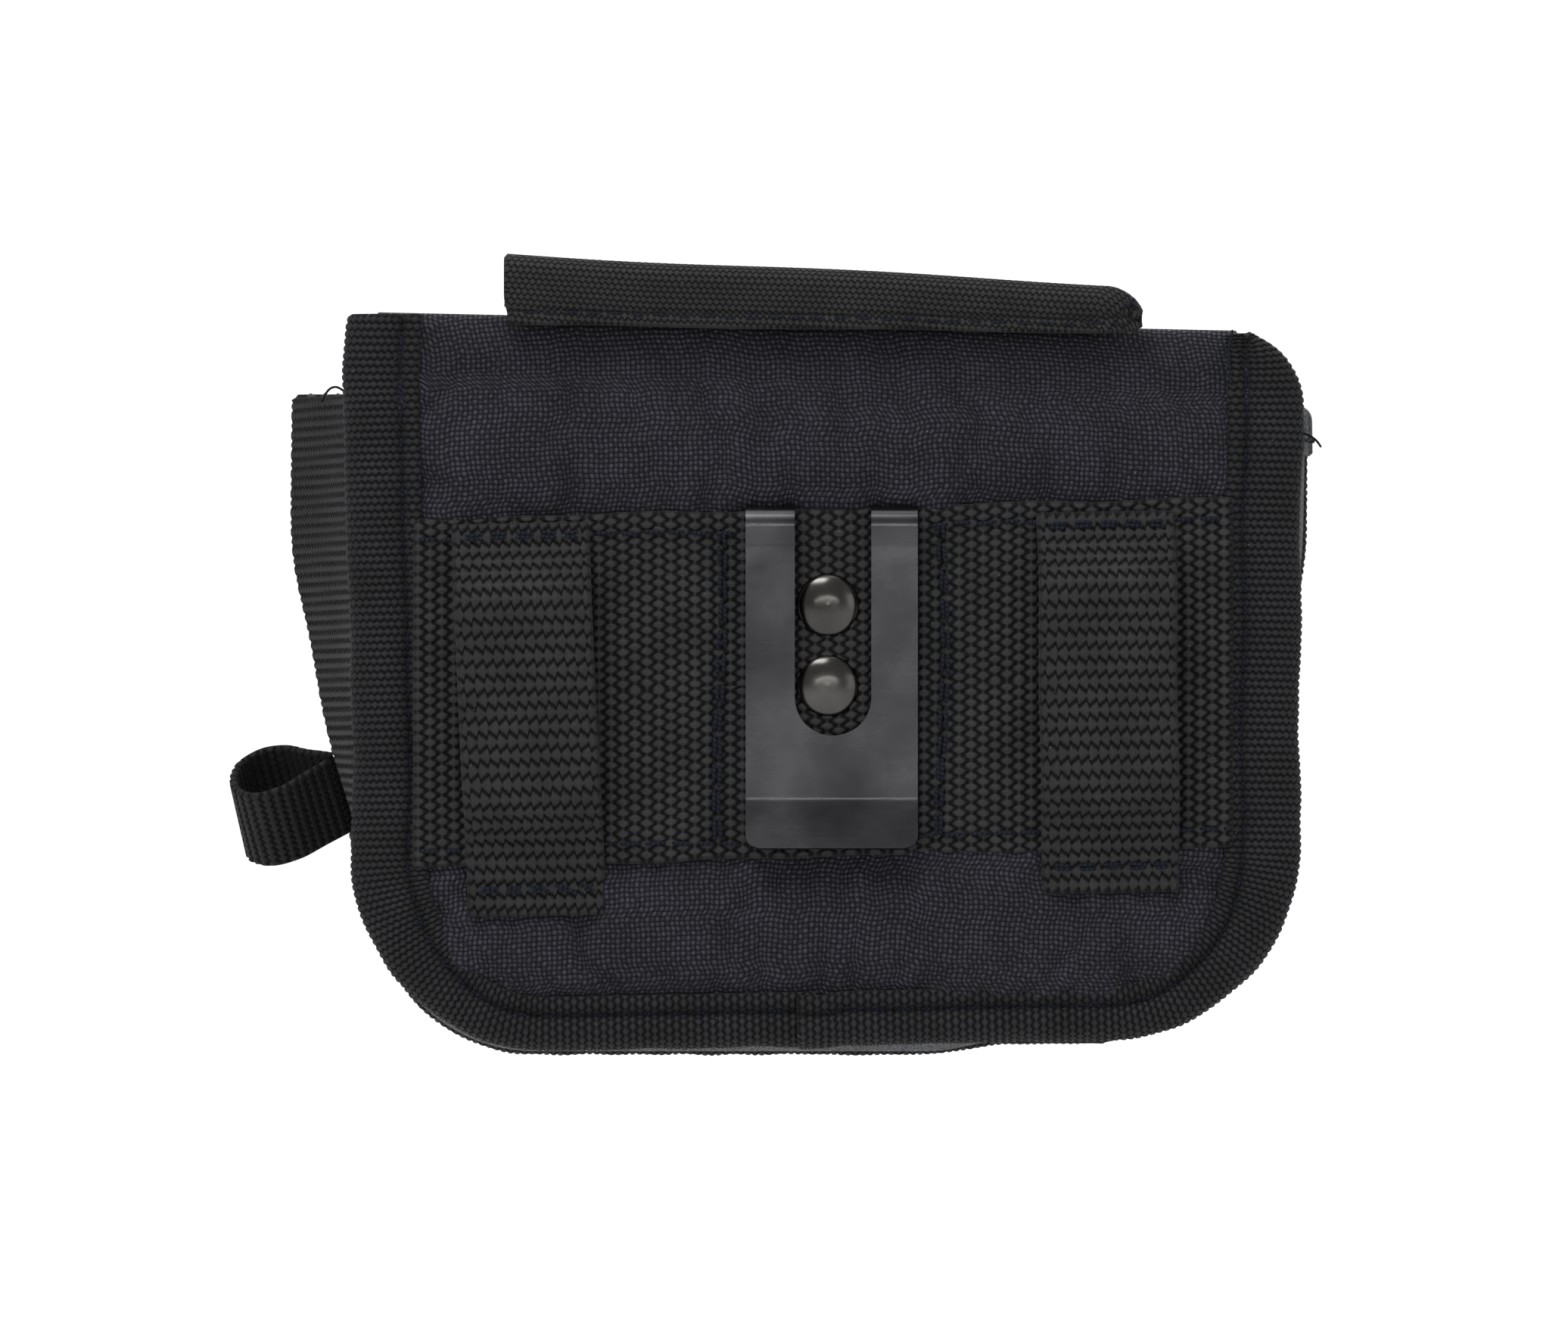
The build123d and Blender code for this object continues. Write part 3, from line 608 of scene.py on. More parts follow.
# %% Blackened steel and thread
def steel_finish(name, tone, worn, rough, brush):
    """Satin oxide on steel, with faint brushing and smudges."""
    material, tree, shader, place, parts = start_finish(name)
    where = tree.nodes.new("ShaderNodeTexCoord").outputs["Object"]
    stretched = add_node(tree, "ShaderNodeMapping", Vector=where, Scale=brush)
    lines = add_node(tree, "ShaderNodeTexNoise", Vector=stretched.outputs[0], Scale=1.0, Detail=4.0)
    smudge = add_node(tree, "ShaderNodeTexNoise", Vector=where, Scale=62.0, Detail=5.0)
    mask = add_node(tree, "ShaderNodeMapRange", Value=smudge.outputs["Fac"], From_Min=0.38, From_Max=0.66)
    colour = blend_colour(tree, add_math(tree, "MULTIPLY", mask.outputs[0], 0.8), tone, worn)
    connect(tree, shader.inputs["Base Color"], colour)
    haze = add_math(tree, "MULTIPLY_ADD", lines.outputs["Fac"], 0.12, rough - 0.06)
    dull = add_math(tree, "MULTIPLY_ADD", mask.outputs[0], 0.08, haze)
    connect(tree, shader.inputs["Roughness"], dull)
    lift = add_node(tree, "ShaderNodeBump", Height=lines.outputs["Fac"], Strength=0.1, Distance=0.02 * MM)
    connect(tree, shader.inputs["Normal"], lift.outputs[0])
    shader.inputs["Metallic"].default_value = 1.0
    shader.inputs["Specular IOR Level"].default_value = 0.5
    return material


def thread_finish():
    material, tree, shader, place, parts = start_finish("stitching")
    turns = add_math(tree, "ADD", add_math(tree, "MULTIPLY", parts["X"], 9.0), parts["Y"])
    twist = add_math(tree, "MULTIPLY_ADD", add_math(tree, "SINE", turns), 0.5, 0.5)
    strands = add_group(tree, "strands", Along=parts["X"], Across=parts["Y"], Fineness=4.0)
    finish_cloth(tree, shader, place, twist, strands["Drift"], strands["Strand"],
                 (0.006, 0.009, 0.018), (0.002, 0.003, 0.006), 0.08, lint=0.0)
    return material


FINISH["grey_gusset"] = gusset_finish()
FINISH["blackened_steel"] = steel_finish("blackened_steel", (0.040, 0.0395, 0.043), (0.078, 0.078, 0.081),
                                         0.22, (300.0, 300.0, 2500.0))
FINISH["rivet_steel"] = steel_finish("rivet_steel", (0.036, 0.034, 0.032), (0.10, 0.097, 0.092), 0.19,
                                     (1200.0, 1200.0, 1200.0))
FINISH["stitching"] = thread_finish()
print("all finishes:", sorted(FINISH))


def dress(piece, finish, body=None, *nodes):
    """Give a piece its finish and its body, and hide the CAD nodes it stands for."""
    piece.data.materials.append(FINISH[finish])
    if nodes:
        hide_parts(*nodes)
    if body:
        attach(piece, body)
    return piece


# %% [markdown]
# ## The edge tape
#
# The panel's raw edge is wrapped in a ribbed tape: it starts as a flat lip, dips into the row of stitches,
# swells into a soft roll and goes round the edge to the same shape on the other face. So one section
# carries every taped edge of the pouch, and only its width and the thickness inside it change. The edge
# itself is measured on the CAD tape with rays from outside.

# %% The tape's section, swept along an edge
LIP = 2.6
TAPE_COLUMNS = 49
TAPE_STEP = 0.27


def tape_section(width, half):
    """Section of a folded tape: distance inwards from the edge, and height off the middle plane."""
    roll = width - LIP
    rear = [(width, half - 0.35), (width - 1.2, half - 0.05), (roll, half - 1.25), (roll - 1.1, half - 0.1),
            (0.55 * roll, half + 0.34), (0.22 * roll, 0.86 * half), (0.05 * roll, 0.45 * half)]
    front = [(inward, -height) for inward, height in reversed(rear)]
    return spread([*rear, (0.0, 0.0), *front], TAPE_COLUMNS)


def bind(name, edge, inward, face, width, half, thick=0.85):
    """Tape folded round an edge: points on the edge, the way inwards and the way off the rear face."""
    count = len(edge)
    width = np.broadcast_to(width, (count,))
    half = np.broadcast_to(half, (count,))
    sections = np.stack([tape_section(w, h) for w, h in zip(width, half)])
    inward = np.broadcast_to(inward, (count, 3))[:, None]
    face = np.broadcast_to(face, (count, 3))[:, None]
    middle = edge[:, None] + inward * sections[..., :1] + face * sections[..., 1:]
    cloth = lengths(middle)
    cloth[..., 0] = run_of(edge)[:, None]
    lift = 0.24 * ribs(cloth[..., 0], cloth[..., 1], **WEAVES["binding_tape"]) - 0.12
    lift = lift + 0.10 * swell(cloth[..., 0], cloth[..., 1], 9, len(name))
    return sheet(name, middle, thick, -inward[count // 2, 0], lift, cloth)


print("tape section:", tape_section(10.4, 2.9).shape[0], "points")

# %% Measure the panel's edge
tape_low, tape_high = span(*TAPES)
PANEL_Y = (tape_low[1] + tape_high[1]) / 2
TAPE_HALF = (tape_high[1] - tape_low[1]) / 2 - 0.5
side_inner = touch(TAPES, (0, tape_low[1] + 0.5, 0), (-1, 0, 0))[0]
foot_inner = touch(TAPES, (20, tape_low[1] + 0.5, 0), (0, 0, -1))[2]
side_outer = touch(TAPES, (-120, PANEL_Y, 0), (1, 0, 0))[0]
foot_outer = touch(TAPES, (20, PANEL_Y, -120), (0, 0, 1))[2]
SIDE_WIDTH = side_inner - side_outer
FOOT_WIDTH = foot_inner - foot_outer


def panel_edge(first, last):
    """Outer edge of the panel from one direction, in degrees, to another."""
    points = []
    for turn in np.radians(np.linspace(first, last, 260)):
        way = np.array([math.cos(turn), 0, math.sin(turn)])
        hit = touch(TAPES, 150 * way + (0, PANEL_Y, 0), -way)
        if hit is not None and (not points or abs(np.hypot(*hit[[0, 2]]) - np.hypot(*points[-1])) < 2):
            points.append(hit[[0, 2]])
    return np.array(points)


def stand_up(outer, y):
    """Edge points at a depth, and the ways inwards, from a flat outline that runs anticlockwise."""
    along, level = tangents(outer), np.zeros(len(outer))
    return np.stack([outer[:, 0], level + y, outer[:, 1]], 1), np.stack([-along[:, 1], level, along[:, 0]], 1)


def level_inward(edge, inward, way, start):
    """Ways inwards that turn level above a height."""
    share = ease((edge[:, 2] - start) / 8)[:, None]
    return unit(inward * (1 - share) + np.array([way, 0, 0]) * share)


def tape_path(outer):
    """Edge points, inward ways and widths of a tape along a flat outline."""
    outer = even(outer, TAPE_STEP)
    smooth(outer, 12)
    edge, inward = stand_up(outer, PANEL_Y)
    width = SIDE_WIDTH * inward[:, 0] ** 2 + FOOT_WIDTH * inward[:, 2] ** 2
    return edge, inward, width


print("tape is", round(SIDE_WIDTH, 1), "mm wide at the sides and", round(FOOT_WIDTH, 1), "at the foot")

# %% [markdown]
# Two lengths of tape meet at the middle of the foot, where the right one laps over the left. Their upper
# ends run on over the panel's top edge. At the right the outline rounds off, so there the tape narrows
# and keeps its straight inner edge.

# %% Left and right edge tapes
TOP_LEFT_Z = span("edge_binding_left")[1][2]
TOP_RIGHT_Z = span("edge_binding_right")[1][2]
left_outer = panel_edge(144, 269.2)
left_outer = left_outer[left_outer[:, 1] < TOP_LEFT_Z - 3.5]
left_top_x = left_outer[0, 0]
left_outer = np.vstack([[left_top_x + 0.5, TOP_LEFT_Z - 0.5], [left_top_x + 0.1, TOP_LEFT_Z - 1.8],
                        left_outer])
left_edge, left_in, left_width = tape_path(left_outer)
left_in = level_inward(left_edge, left_in, 1.0, 40)
left_edge[:, 0] += 0.35 * swell(left_edge[:, 2], left_edge[:, 0], 30, 5)
left_half = TAPE_HALF + 0.15 * swell(left_edge[:, 2], left_edge[:, 0], 22, 6)
left_tape = bind("edge_tape_left", left_edge, left_in, REARWARDS, left_width, left_half)
dress(left_tape, "binding_tape", "pouch", "edge_binding_left")

LAP = 3.0
right_outer = panel_edge(270 - math.degrees(math.atan2(LAP, -tape_low[2])), 400)
right_outer = right_outer[right_outer[:, 1] < TOP_RIGHT_Z - 0.6]
right_edge, right_in, right_width = tape_path(right_outer)
right_in = level_inward(right_edge, right_in, -1.0, 36)
straight_edge = touch(["edge_binding_right"], (0, tape_low[1] + 0.5, 20), (1, 0, 0))[0]
room = np.maximum(right_edge[:, 0] - straight_edge, 3.4)
right_width = np.where(right_edge[:, 2] > 30, np.minimum(right_width, room), right_width)
right_edge[:, 0] += 0.3 * swell(right_edge[:, 2], right_edge[:, 0], 30, 8)
run = TAPE_STEP * np.arange(len(right_edge))
right_half = TAPE_HALF + 0.15 * swell(right_edge[:, 2], right_edge[:, 0], 22, 9)
right_half += 0.75 * (1 - ease((run - LAP) / 4.0))
right_edge[:, 2] -= 0.5 * (1 - ease((run - LAP) / 4.0))
right_tape = bind("edge_tape_right", right_edge, right_in, REARWARDS, right_width, right_half)
dress(right_tape, "binding_tape", "pouch", "edge_binding_right")
print("edge tapes:", len(left_tape.data.vertices) + len(right_tape.data.vertices), "points")

# %% [markdown]
# ## Sewing thread
#
# A lockstitch shows as short dashes of thread that dive into the cloth at both ends. Each dash is a bent
# tube with tapered ends; a whole seam is one piece that rides on the body it is sewn to. The length and
# the lie of each dash vary a little, as they do on a real seam.

# %% Tubes and seams
def tubes(name, lines, radius, sides=7):
    """Round threads along some lines, with tapered ends, as one piece."""
    points, faces, maps = [], [], []
    turns = np.linspace(0, 2 * math.pi, sides, endpoint=False)
    for line in lines:
        line = np.asarray(line, float)
        along = tangents(line)
        across = unit(np.cross(along, (0.31, 0.53, 0.79)))
        upward = np.cross(along, across)
        size = np.full(len(line), radius)
        size[[0, -1]] *= 0.35
        circle = across[:, None] * np.cos(turns)[:, None] + upward[:, None] * np.sin(turns)[:, None]
        rings = line[:, None] + circle * size[:, None, None]
        start = len(points)
        index = start + np.arange(len(line) * sides).reshape(len(line), sides)
        points.extend(rings.reshape(-1, 3))
        run = run_of(line)
        maps.extend((far, turn) for far in run for turn in turns)
        faces.extend(ring_faces(index).tolist())
        faces.append(index[0, ::-1].tolist())
        faces.append(index[-1].tolist())
    mesh = bpy.data.meshes.new(name)
    mesh.from_pydata((np.array(points) * MM).tolist(), [], faces)
    layer = mesh.uv_layers.new(name="cloth")
    for loop in mesh.loops:
        layer.data[loop.index].uv = maps[loop.vertex_index]
    mesh.shade_smooth()
    return add_object(name, mesh)


def seam(name, line, face, body="pouch", stitch=3.0, gap=0.7, thread=0.3, seed=3):
    """Row of stitches along a line of points, lying on a cloth that looks towards face."""
    draw = np.random.default_rng(seed)
    line = np.asarray(line, float)
    run = run_of(line)
    side = np.cross(np.gradient(line, axis=0), face)
    side /= np.maximum(np.linalg.norm(side, axis=1, keepdims=True), 1e-9)
    rows = []
    place = 0.3
    while place < run[-1] - 0.8:
        length = min(stitch * draw.uniform(0.85, 1.12), run[-1] - place)
        t = np.linspace(0, 1, 7)
        where = place + t * length
        dash, lean = sample(line, run, where), sample(side, run, where)
        dash += lean * (draw.uniform(-0.12, 0.12) + draw.uniform(-0.14, 0.14) * (2 * t - 1))[:, None]
        dash += np.asarray(face, float) * (0.12 - 0.5 * np.abs(2 * t - 1)[:, None] ** 3)
        rows.append(dash)
        place += length + gap * draw.uniform(0.8, 1.3)
    return dress(tubes(name, rows, thread), "stitching", body)


def groove_line(edge, inward, width, half, face):
    """Where a tape's stitches lie."""
    face = np.array(face, float)
    half = np.broadcast_to(half, (len(edge),))
    return edge + inward * (width - LIP)[:, None] + face * (half - 0.7)[:, None]


for tape_name, path in (("left", (left_edge, left_in, left_width, left_half)),
                        ("right", (right_edge, right_in, right_width, right_half))):
    seam(f"stitches_edge_{tape_name}", groove_line(*path, REARWARDS)[12:-8], REARWARDS)
    seam(f"stitches_edge_{tape_name}_front", groove_line(*path, FORWARDS)[12:-8], FORWARDS, seed=4)
print("edge seams sewn")

# %% [markdown]
# ## The padded back
#
# The back is coarse cloth over thin foam. It is sewn down along the edge tapes, along the web band's edges
# and where the belt loops end, and between those seams it swells. That is a job for the Cloth simulator:
# a plain grid is pinned along the seams, given a little extra cloth and blown up from behind. The grid is
# simulated at ten times its size, because the solver behaves better with metre-sized cloth.


def blow_up(name, rest, pinned, face, height, push=9.0, slack=0.045, frames=22):
    """Rest grid after a cloth simulation that pushes it towards face, moved by no more than height."""
    face = np.array(face, float)
    scale = 10.0
    rows, columns = pinned.shape
    model = build(name, rest.reshape(-1, 3) * scale, grid_faces(rows, columns, 0, False),
                  np.zeros((rows * columns, 2)))
    normal = np.cross(rest[-1, 0] - rest[0, 0], rest[0, -1] - rest[0, 0])
    if normal @ face < 0:
        model.data.flip_normals()
    held = model.vertex_groups.new(name="seams")
    held.add(np.flatnonzero(pinned.ravel()).tolist(), 1.0, "REPLACE")
    cloth = model.modifiers.new("cloth", "CLOTH")
    settings = cloth.settings
    settings.vertex_group_mass = "seams"
    settings.quality = 6
    settings.mass = 0.3
    settings.tension_stiffness = settings.compression_stiffness = 12
    settings.shear_stiffness = 4
    settings.bending_stiffness = 0.3
    settings.use_pressure = True
    settings.uniform_pressure_force = push
    settings.shrink_min = settings.shrink_max = -slack
    settings.effector_weights.gravity = 0
    cloth.collision_settings.use_collision = False
    cloth.point_cache.frame_start, cloth.point_cache.frame_end = 1, frames
    for moment in range(1, frames + 1):
        bpy.context.scene.frame_set(moment)
    shaped = model.evaluated_get(bpy.context.evaluated_depsgraph_get()).data
    points = np.array([v.co for v in shaped.vertices]).reshape(rows, columns, 3) / MM / scale
    bpy.data.objects.remove(model)
    bpy.context.scene.frame_set(1)
    move = points - rest
    size = np.linalg.norm(move, axis=2, keepdims=True)
    move *= height * np.tanh(size / height) / np.maximum(size, 1e-9)
    print(name, "moved by up to", round(float(size.max()), 2), "mm, kept", round(height, 1))
    return rest + np.where(pinned[..., None], 0, move)


def finer(grid):
    """Twice as many points both ways, on a smooth surface through the given ones."""
    for _ in range(2):
        ends = np.concatenate([2 * grid[:1] - grid[1:2], grid, 2 * grid[-1:] - grid[-2:-1]])
        middle = (9 * (ends[1:-2] + ends[2:-1]) - ends[:-3] - ends[3:]) / 16
        out = np.empty((2 * len(grid) - 1, *grid.shape[1:]))
        out[::2], out[1::2] = grid, middle
        grid = out.swapaxes(0, 1)
    return grid


# %% Measure the band, the loops and the sleeve
band_low, band_high = span("web_band")
BAND_X = (band_low[0] + 0.3, band_high[0] - 0.3)


def band_edge(x, way):
    """Height of the web band's lower or upper edge."""
    return touch(["web_band"], (x, 0.8, -80 * way), (0, 0, way))[2]


BAND_SLOPE = (band_edge(50, -1) - band_edge(-50, -1)) / 100
BAND_TOP = band_edge(-50, -1) + 50 * BAND_SLOPE
BAND_FOOT = band_edge(-50, 1) + 50 * BAND_SLOPE
LOOPS = {}
for loop_name in ("belt_loop_left", "belt_loop_right"):
    low, high = span(loop_name)
    sides = []
    for z in (low[2] + 1.5, high[2] - 1.5):
        y = touch([loop_name], ((low[0] + high[0]) / 2, -30, z), FORWARDS)[1] + 0.7
        left = touch([loop_name], (low[0] - 20, y, z), (1, 0, 0))[0]
        right = touch([loop_name], (high[0] + 20, y, z), (-1, 0, 0))[0]
        sides.append(((left + right) / 2, right - left))
    LOOPS[loop_name] = dict(low=low, high=high, foot_x=sides[0][0], top_x=sides[1][0], width=sides[0][1])
print("band from", round(BAND_FOOT, 1), "to", round(BAND_TOP, 1), "mm, loops",
      round(LOOPS["belt_loop_left"]["width"], 1), "mm wide")

# %% [markdown]
# The back cloth is one piece with the flap: it runs up the back, rolls over the top edge and goes on to the
# middle of the flap's top, where the flap's front half takes over. It has to bend at the flap's fold, but it
# is not blended there: it is tied to no body.

# %% The flap's run, from the back over the top and down the front
SKIN = 1.0
FLAP_SIDES = (span("flap_top_outer")[0][0], span("flap_top_outer")[1][0])
top_tilt = math.tan(math.asin(-next(j for j in frame["joints"] if j["name"] == "flap_lift")["axis"][2]))
flap_outer_y = span("flap_front_outer")[1][1]
flap_foot = span("flap_front_outer")[0][2]
slope_way = unit(np.array([bend_at[1] + 1.0 - fold_at[1], bend_at[2] + 2.2 - fold_at[2]]))
corner_y = flap_outer_y - 0.2
corner_z = fold_at[2] + (corner_y - fold_at[1]) * slope_way[1] / slope_way[0]
BACK_Y = span("back_panel_outer")[0][1]
ROLL = [(BACK_Y - 0.1, 47.0), (BACK_Y + 0.1, 50.4), (BACK_Y + 1.5, 52.6), (5.0, 53.5), tuple(fold_at[1:])]
down_slope = [tuple(fold_at[1:] + slope_way * far) for far in (5, 14, 22, 29)]
over_bend = [(corner_y - 3.6, corner_z + 0.45), (corner_y - 1.1, corner_z - 1.1), (corner_y, corner_z - 4.2)]
drop = [(corner_y + 0.5, corner_z - 14), (corner_y + 0.7, corner_z - 25), (corner_y, flap_foot)]
flap_run = curve([*ROLL, *down_slope, *over_bend, *drop], 0.65)
MID_FLAP = int(np.argmin(np.abs(flap_run[:, 0] - (fold_at[1] + 18))))


def run_off(run, depth):
    """A profile line moved inwards by depth."""
    along = tangents(run)
    return run + depth * np.stack([along[:, 1], -along[:, 0]], 1)


def flap_surface(run, left, right, columns):
    """Grid of a flap layer: a profile run across from left to right, on the sloping top."""
    share = np.linspace(0, 1, columns)
    left = np.broadcast_to(left, len(run))[:, None]
    right = np.broadcast_to(right, len(run))[:, None]
    x = left + (right - left) * share
    y = np.broadcast_to(run[:, :1], x.shape)
    z = run[:, 1:] - top_tilt * x
    return np.stack([x, y, z], -1)


print("flap run:", len(flap_run), "steps")

# %% Simulate the back cloth
GRID = 2.6
heights = np.arange(-51.5, 47.1, GRID)
across = np.linspace(0, 1, 55)


def back_side(z, way):
    """Side of the back cloth inside the tape, at a height."""
    hit = touch(TAPES, (way * 120, PANEL_Y, min(z, 40)), (-way, 0, 0))
    return hit[0] - way * (2.2 + (5.0 if way > 0 else 1.0) * float(ease((z - 39) / 10)))


left_side = np.array([back_side(z, -1) for z in heights])
right_side = np.array([back_side(z, 1) for z in heights])
tilt = np.interp(heights, (heights[0], heights[-1]), (0.0195, -top_tilt))
x = left_side[:, None] + (right_side - left_side)[:, None] * across
z = heights[:, None] + tilt[:, None] * x
in_tape = (x < left_side[:, None] + SIDE_WIDTH - 3.0) | (x > right_side[:, None] - SIDE_WIDTH + 3.0)
in_tape |= z < foot_outer + FOOT_WIDTH - 0.4
corner = np.hypot(np.abs(x) - 42, z + 26)
in_tape |= (corner > 28 - 8.4) & (np.abs(x) > 42) & (z < -26)
under_band = (z < BAND_TOP + BAND_SLOPE * x + 0.3) & (z > BAND_FOOT + BAND_SLOPE * x - 0.3)
under_loop = np.zeros(x.shape, bool)
for loop in LOOPS.values():
    beside_loop = np.abs(x - loop["foot_x"]) < loop["width"] / 2 + 0.4
    under_loop |= beside_loop & (z > loop["low"][2] - 0.6) & (z < 0)
pinned = in_tape | under_band | under_loop | (z > 50)
pinned[-1] = True
rest = np.stack([x, BACK_Y + SKIN / 2 + 0.5 * in_tape * (z < 40), z], -1)
back = blow_up("back_cloth_trial", rest, pinned, REARWARDS, 3.2)
dip = ease((15.5 - np.abs(x - 1.5)) / 4) * ease((z + 12) / 4) * ease((28 - z) / 3)
back[..., 1] += 2.3 * dip * under_band
back[..., 1] += np.where(pinned, 0, 0.16 * swell(x, z, 16, 21))
back_fine = finer(finer(back))
print("back cloth grid", back_fine.shape[:2])

# %% Back cloth with its roll over the top
roll_run = run_off(flap_run[:MID_FLAP + 1], SKIN / 2)
roll_rise = ease((roll_run[:, 1] - 48.5) / 4) + (roll_run[:, 0] > fold_at[1])
roll_left = back_fine[-1, 0, 0] + (FLAP_SIDES[0] - back_fine[-1, 0, 0]) * np.clip(roll_rise, 0, 1)
roll_right = back_fine[-1, -1, 0] + (FLAP_SIDES[1] - back_fine[-1, -1, 0]) * np.clip(roll_rise, 0, 1)
roll = flap_surface(roll_run, roll_left, roll_right, back_fine.shape[1])
fade = ease(np.arange(len(roll)) / 9.0)[:, None, None]
offset = back_fine[-1] - roll[0]
roll = roll + offset * (1 - fade)
slack = swell(roll[..., 0], roll[..., 1] * 2 + roll[..., 2], 26, 31) * 0.3
roll[..., 2] += slack * ease((roll[..., 1] - 9) / 5)
back_cloth = sheet("back_cloth", np.concatenate([back_fine[:-1], roll]), SKIN, REARWARDS)
back_cloth = dress(back_cloth, "ballistic_cloth")
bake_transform(back_cloth)
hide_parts("back_panel_outer")
print("back cloth:", len(back_cloth.data.vertices), "points")

# %% [markdown]
# Behind the cloth lie the foam and the lining. They are one soft pad each: crowned, with an edge that
# thins out into the tape, and the foam's top edge rounds off under the roll.

# %% Foam and lining of the back
def back_layer(name, rear, front, finish, node, crown):
    """A layer of the back panel between two depths, thinner towards its edge."""
    rows = np.linspace(-51.0, 50.6, 60)
    lefts = np.array([back_side(v, -1) for v in rows])
    rights = np.array([back_side(v, 1) for v in rows])
    share = np.linspace(0, 1, 80)
    gx = lefts[:, None] + (rights - lefts)[:, None] * share
    gz = rows[:, None] + np.interp(rows, (-51, 50.6), (0.0195, -top_tilt))[:, None] * gx
    near = np.minimum(np.minimum(gx - lefts[:, None], rights[:, None] - gx), np.minimum(gz + 52, 53 - gz))
    swollen = ease(near / 14)
    gy = (rear + front) / 2 + crown * swollen * (1 + 0.3 * swell(gx, gz, 30, 41))
    thick = (front - rear) * (0.55 + 0.45 * ease(near / 5))
    piece = sheet(name, np.stack([gx, gy, gz], -1), thick, FORWARDS)
    return dress(piece, finish, "pouch", node)


foam_low, foam_high = span("back_panel_foam")
lining_high = span("back_panel_lining")[1]
foam = back_layer("back_foam", foam_low[1] + 0.9, foam_high[1], "foam_board", "back_panel_foam", 0.25)
back_layer("back_lining", foam_high[1], lining_high[1], "lining_cloth", "back_panel_lining", 0.35)
print("pad layers made")

# %% [markdown]
# ## Web band
#
# The wide webbing lies across the back, a little out of level, with stitches along its edges and two
# cross seams beside the clip. Its ribs are real relief in the mesh. Two shallow notches in its upper edge
# let the clip's bend pass.

# %% Web band
def webbing(name, middle, thick, face, finish, lift, body, node, cloth=None):
    """Dressed strip of webbing, with its ribs as relief in its own cloth coordinates."""
    cloth = lengths(middle) if cloth is None else cloth
    relief = lift * (ribs(cloth[..., 0], cloth[..., 1], **WEAVES[finish]) - 0.6)
    return dress(sheet(name, middle, thick, face, relief, cloth), finish, body, node)


clip_low, clip_high = span("clip_leaf")
slot_left = touch(["clip_leaf"], (1.5, clip_low[1] + 1.8, 10), (-1, 0, 0))
slot_right = touch(["clip_leaf"], (1.5, clip_low[1] + 1.8, 10), (1, 0, 0))
SLOT_X = (slot_left[0], slot_right[0])
LEGS = ((clip_low[0], SLOT_X[0]), (SLOT_X[1], clip_high[0]))
hinge = joint_place("clip_spring")
bx = np.linspace(*BAND_X, 335)[:, None]
bv = np.linspace(BAND_FOOT, BAND_TOP, 143)[None, :]
bz = bv + BAND_SLOPE * bx + 0.22 * swell(bx, 0 * bv, 24, 51) * np.sign(bv)
for leg in LEGS:
    notch = ease((bx - leg[0] - 0.2) / 0.8) * ease((leg[1] - bx - 0.2) / 0.8)
    bz = np.where(bz > 17, 17 + (bz - 17) * (1 - notch * (1 - (hinge[2] - 0.6 - 17) / (bz.max() - 17))), bz)
bx_grid = np.broadcast_to(bx, bz.shape)
between = np.sin(math.pi * (bv - BAND_FOOT) / (BAND_TOP - BAND_FOOT))
CROSS_SEAMS = (clip_low[0] - 4.2, clip_high[0] + 3.2)
tied = np.min([np.abs(bx - seam_x) for seam_x in CROSS_SEAMS], axis=0)
puff = 0.55 * between * ease(tied / 14) - 0.25 * np.exp(-(tied / 1.4) ** 2)
band_middle = np.stack([bx_grid, 0.85 - puff, bz], -1)
band_cloth = np.stack([bx_grid, np.broadcast_to(bv, bz.shape)], -1)
band = webbing("web_band_back", band_middle, 1.25, REARWARDS, "wide_webbing", 0.38, "pouch", "web_band",
               band_cloth)
print("web band:", len(band.data.vertices), "points")

# %% Seams of the web band
def band_line(x0, x1, inset, edge):
    """Line that follows the band's upper or lower edge."""
    lx = np.linspace(x0, x1, 160)
    base = BAND_TOP - inset if edge > 0 else BAND_FOOT + inset
    return np.stack([lx, np.full(160, -0.12), base + BAND_SLOPE * lx + 0.25 * swell(lx, 0 * lx, 40, 61)], 1)


seam("stitches_band_top_left", band_line(BAND_X[0], clip_low[0] - 1.5, 2.6, 1), REARWARDS, seed=11)
seam("stitches_band_top_right", band_line(clip_high[0] + 1.5, BAND_X[1], 2.6, 1), REARWARDS, seed=12)
seam("stitches_band_foot", band_line(BAND_X[0], BAND_X[1], 2.2, -1), REARWARDS, seed=13)
for number, seam_x in enumerate(CROSS_SEAMS):
    lz = np.linspace(BAND_FOOT + 2, BAND_TOP - 2.4, 90)
    lx = seam_x + 0.5 * np.sin(lz / 9 + number)
    ly = -0.15 + 0 * lz
    for pass_number in range(2):
        line = np.stack([lx + 0.75 * pass_number, ly, lz + BAND_SLOPE * seam_x], 1)
        seam(f"stitches_cross_{number}_{pass_number}", line, REARWARDS, stitch=3.3,
             seed=14 + 2 * number + pass_number)
print("band seams sewn")

# %% [markdown]
# ## Belt loops
#
# Each loop is narrow webbing, sewn down above and below the band, with its lower end free for a few
# millimetres. The belt pushes it outwards into a shallow arch. The profile is read off the CAD loop with
# a column of rays and then smoothed, since webbing bends in curves.

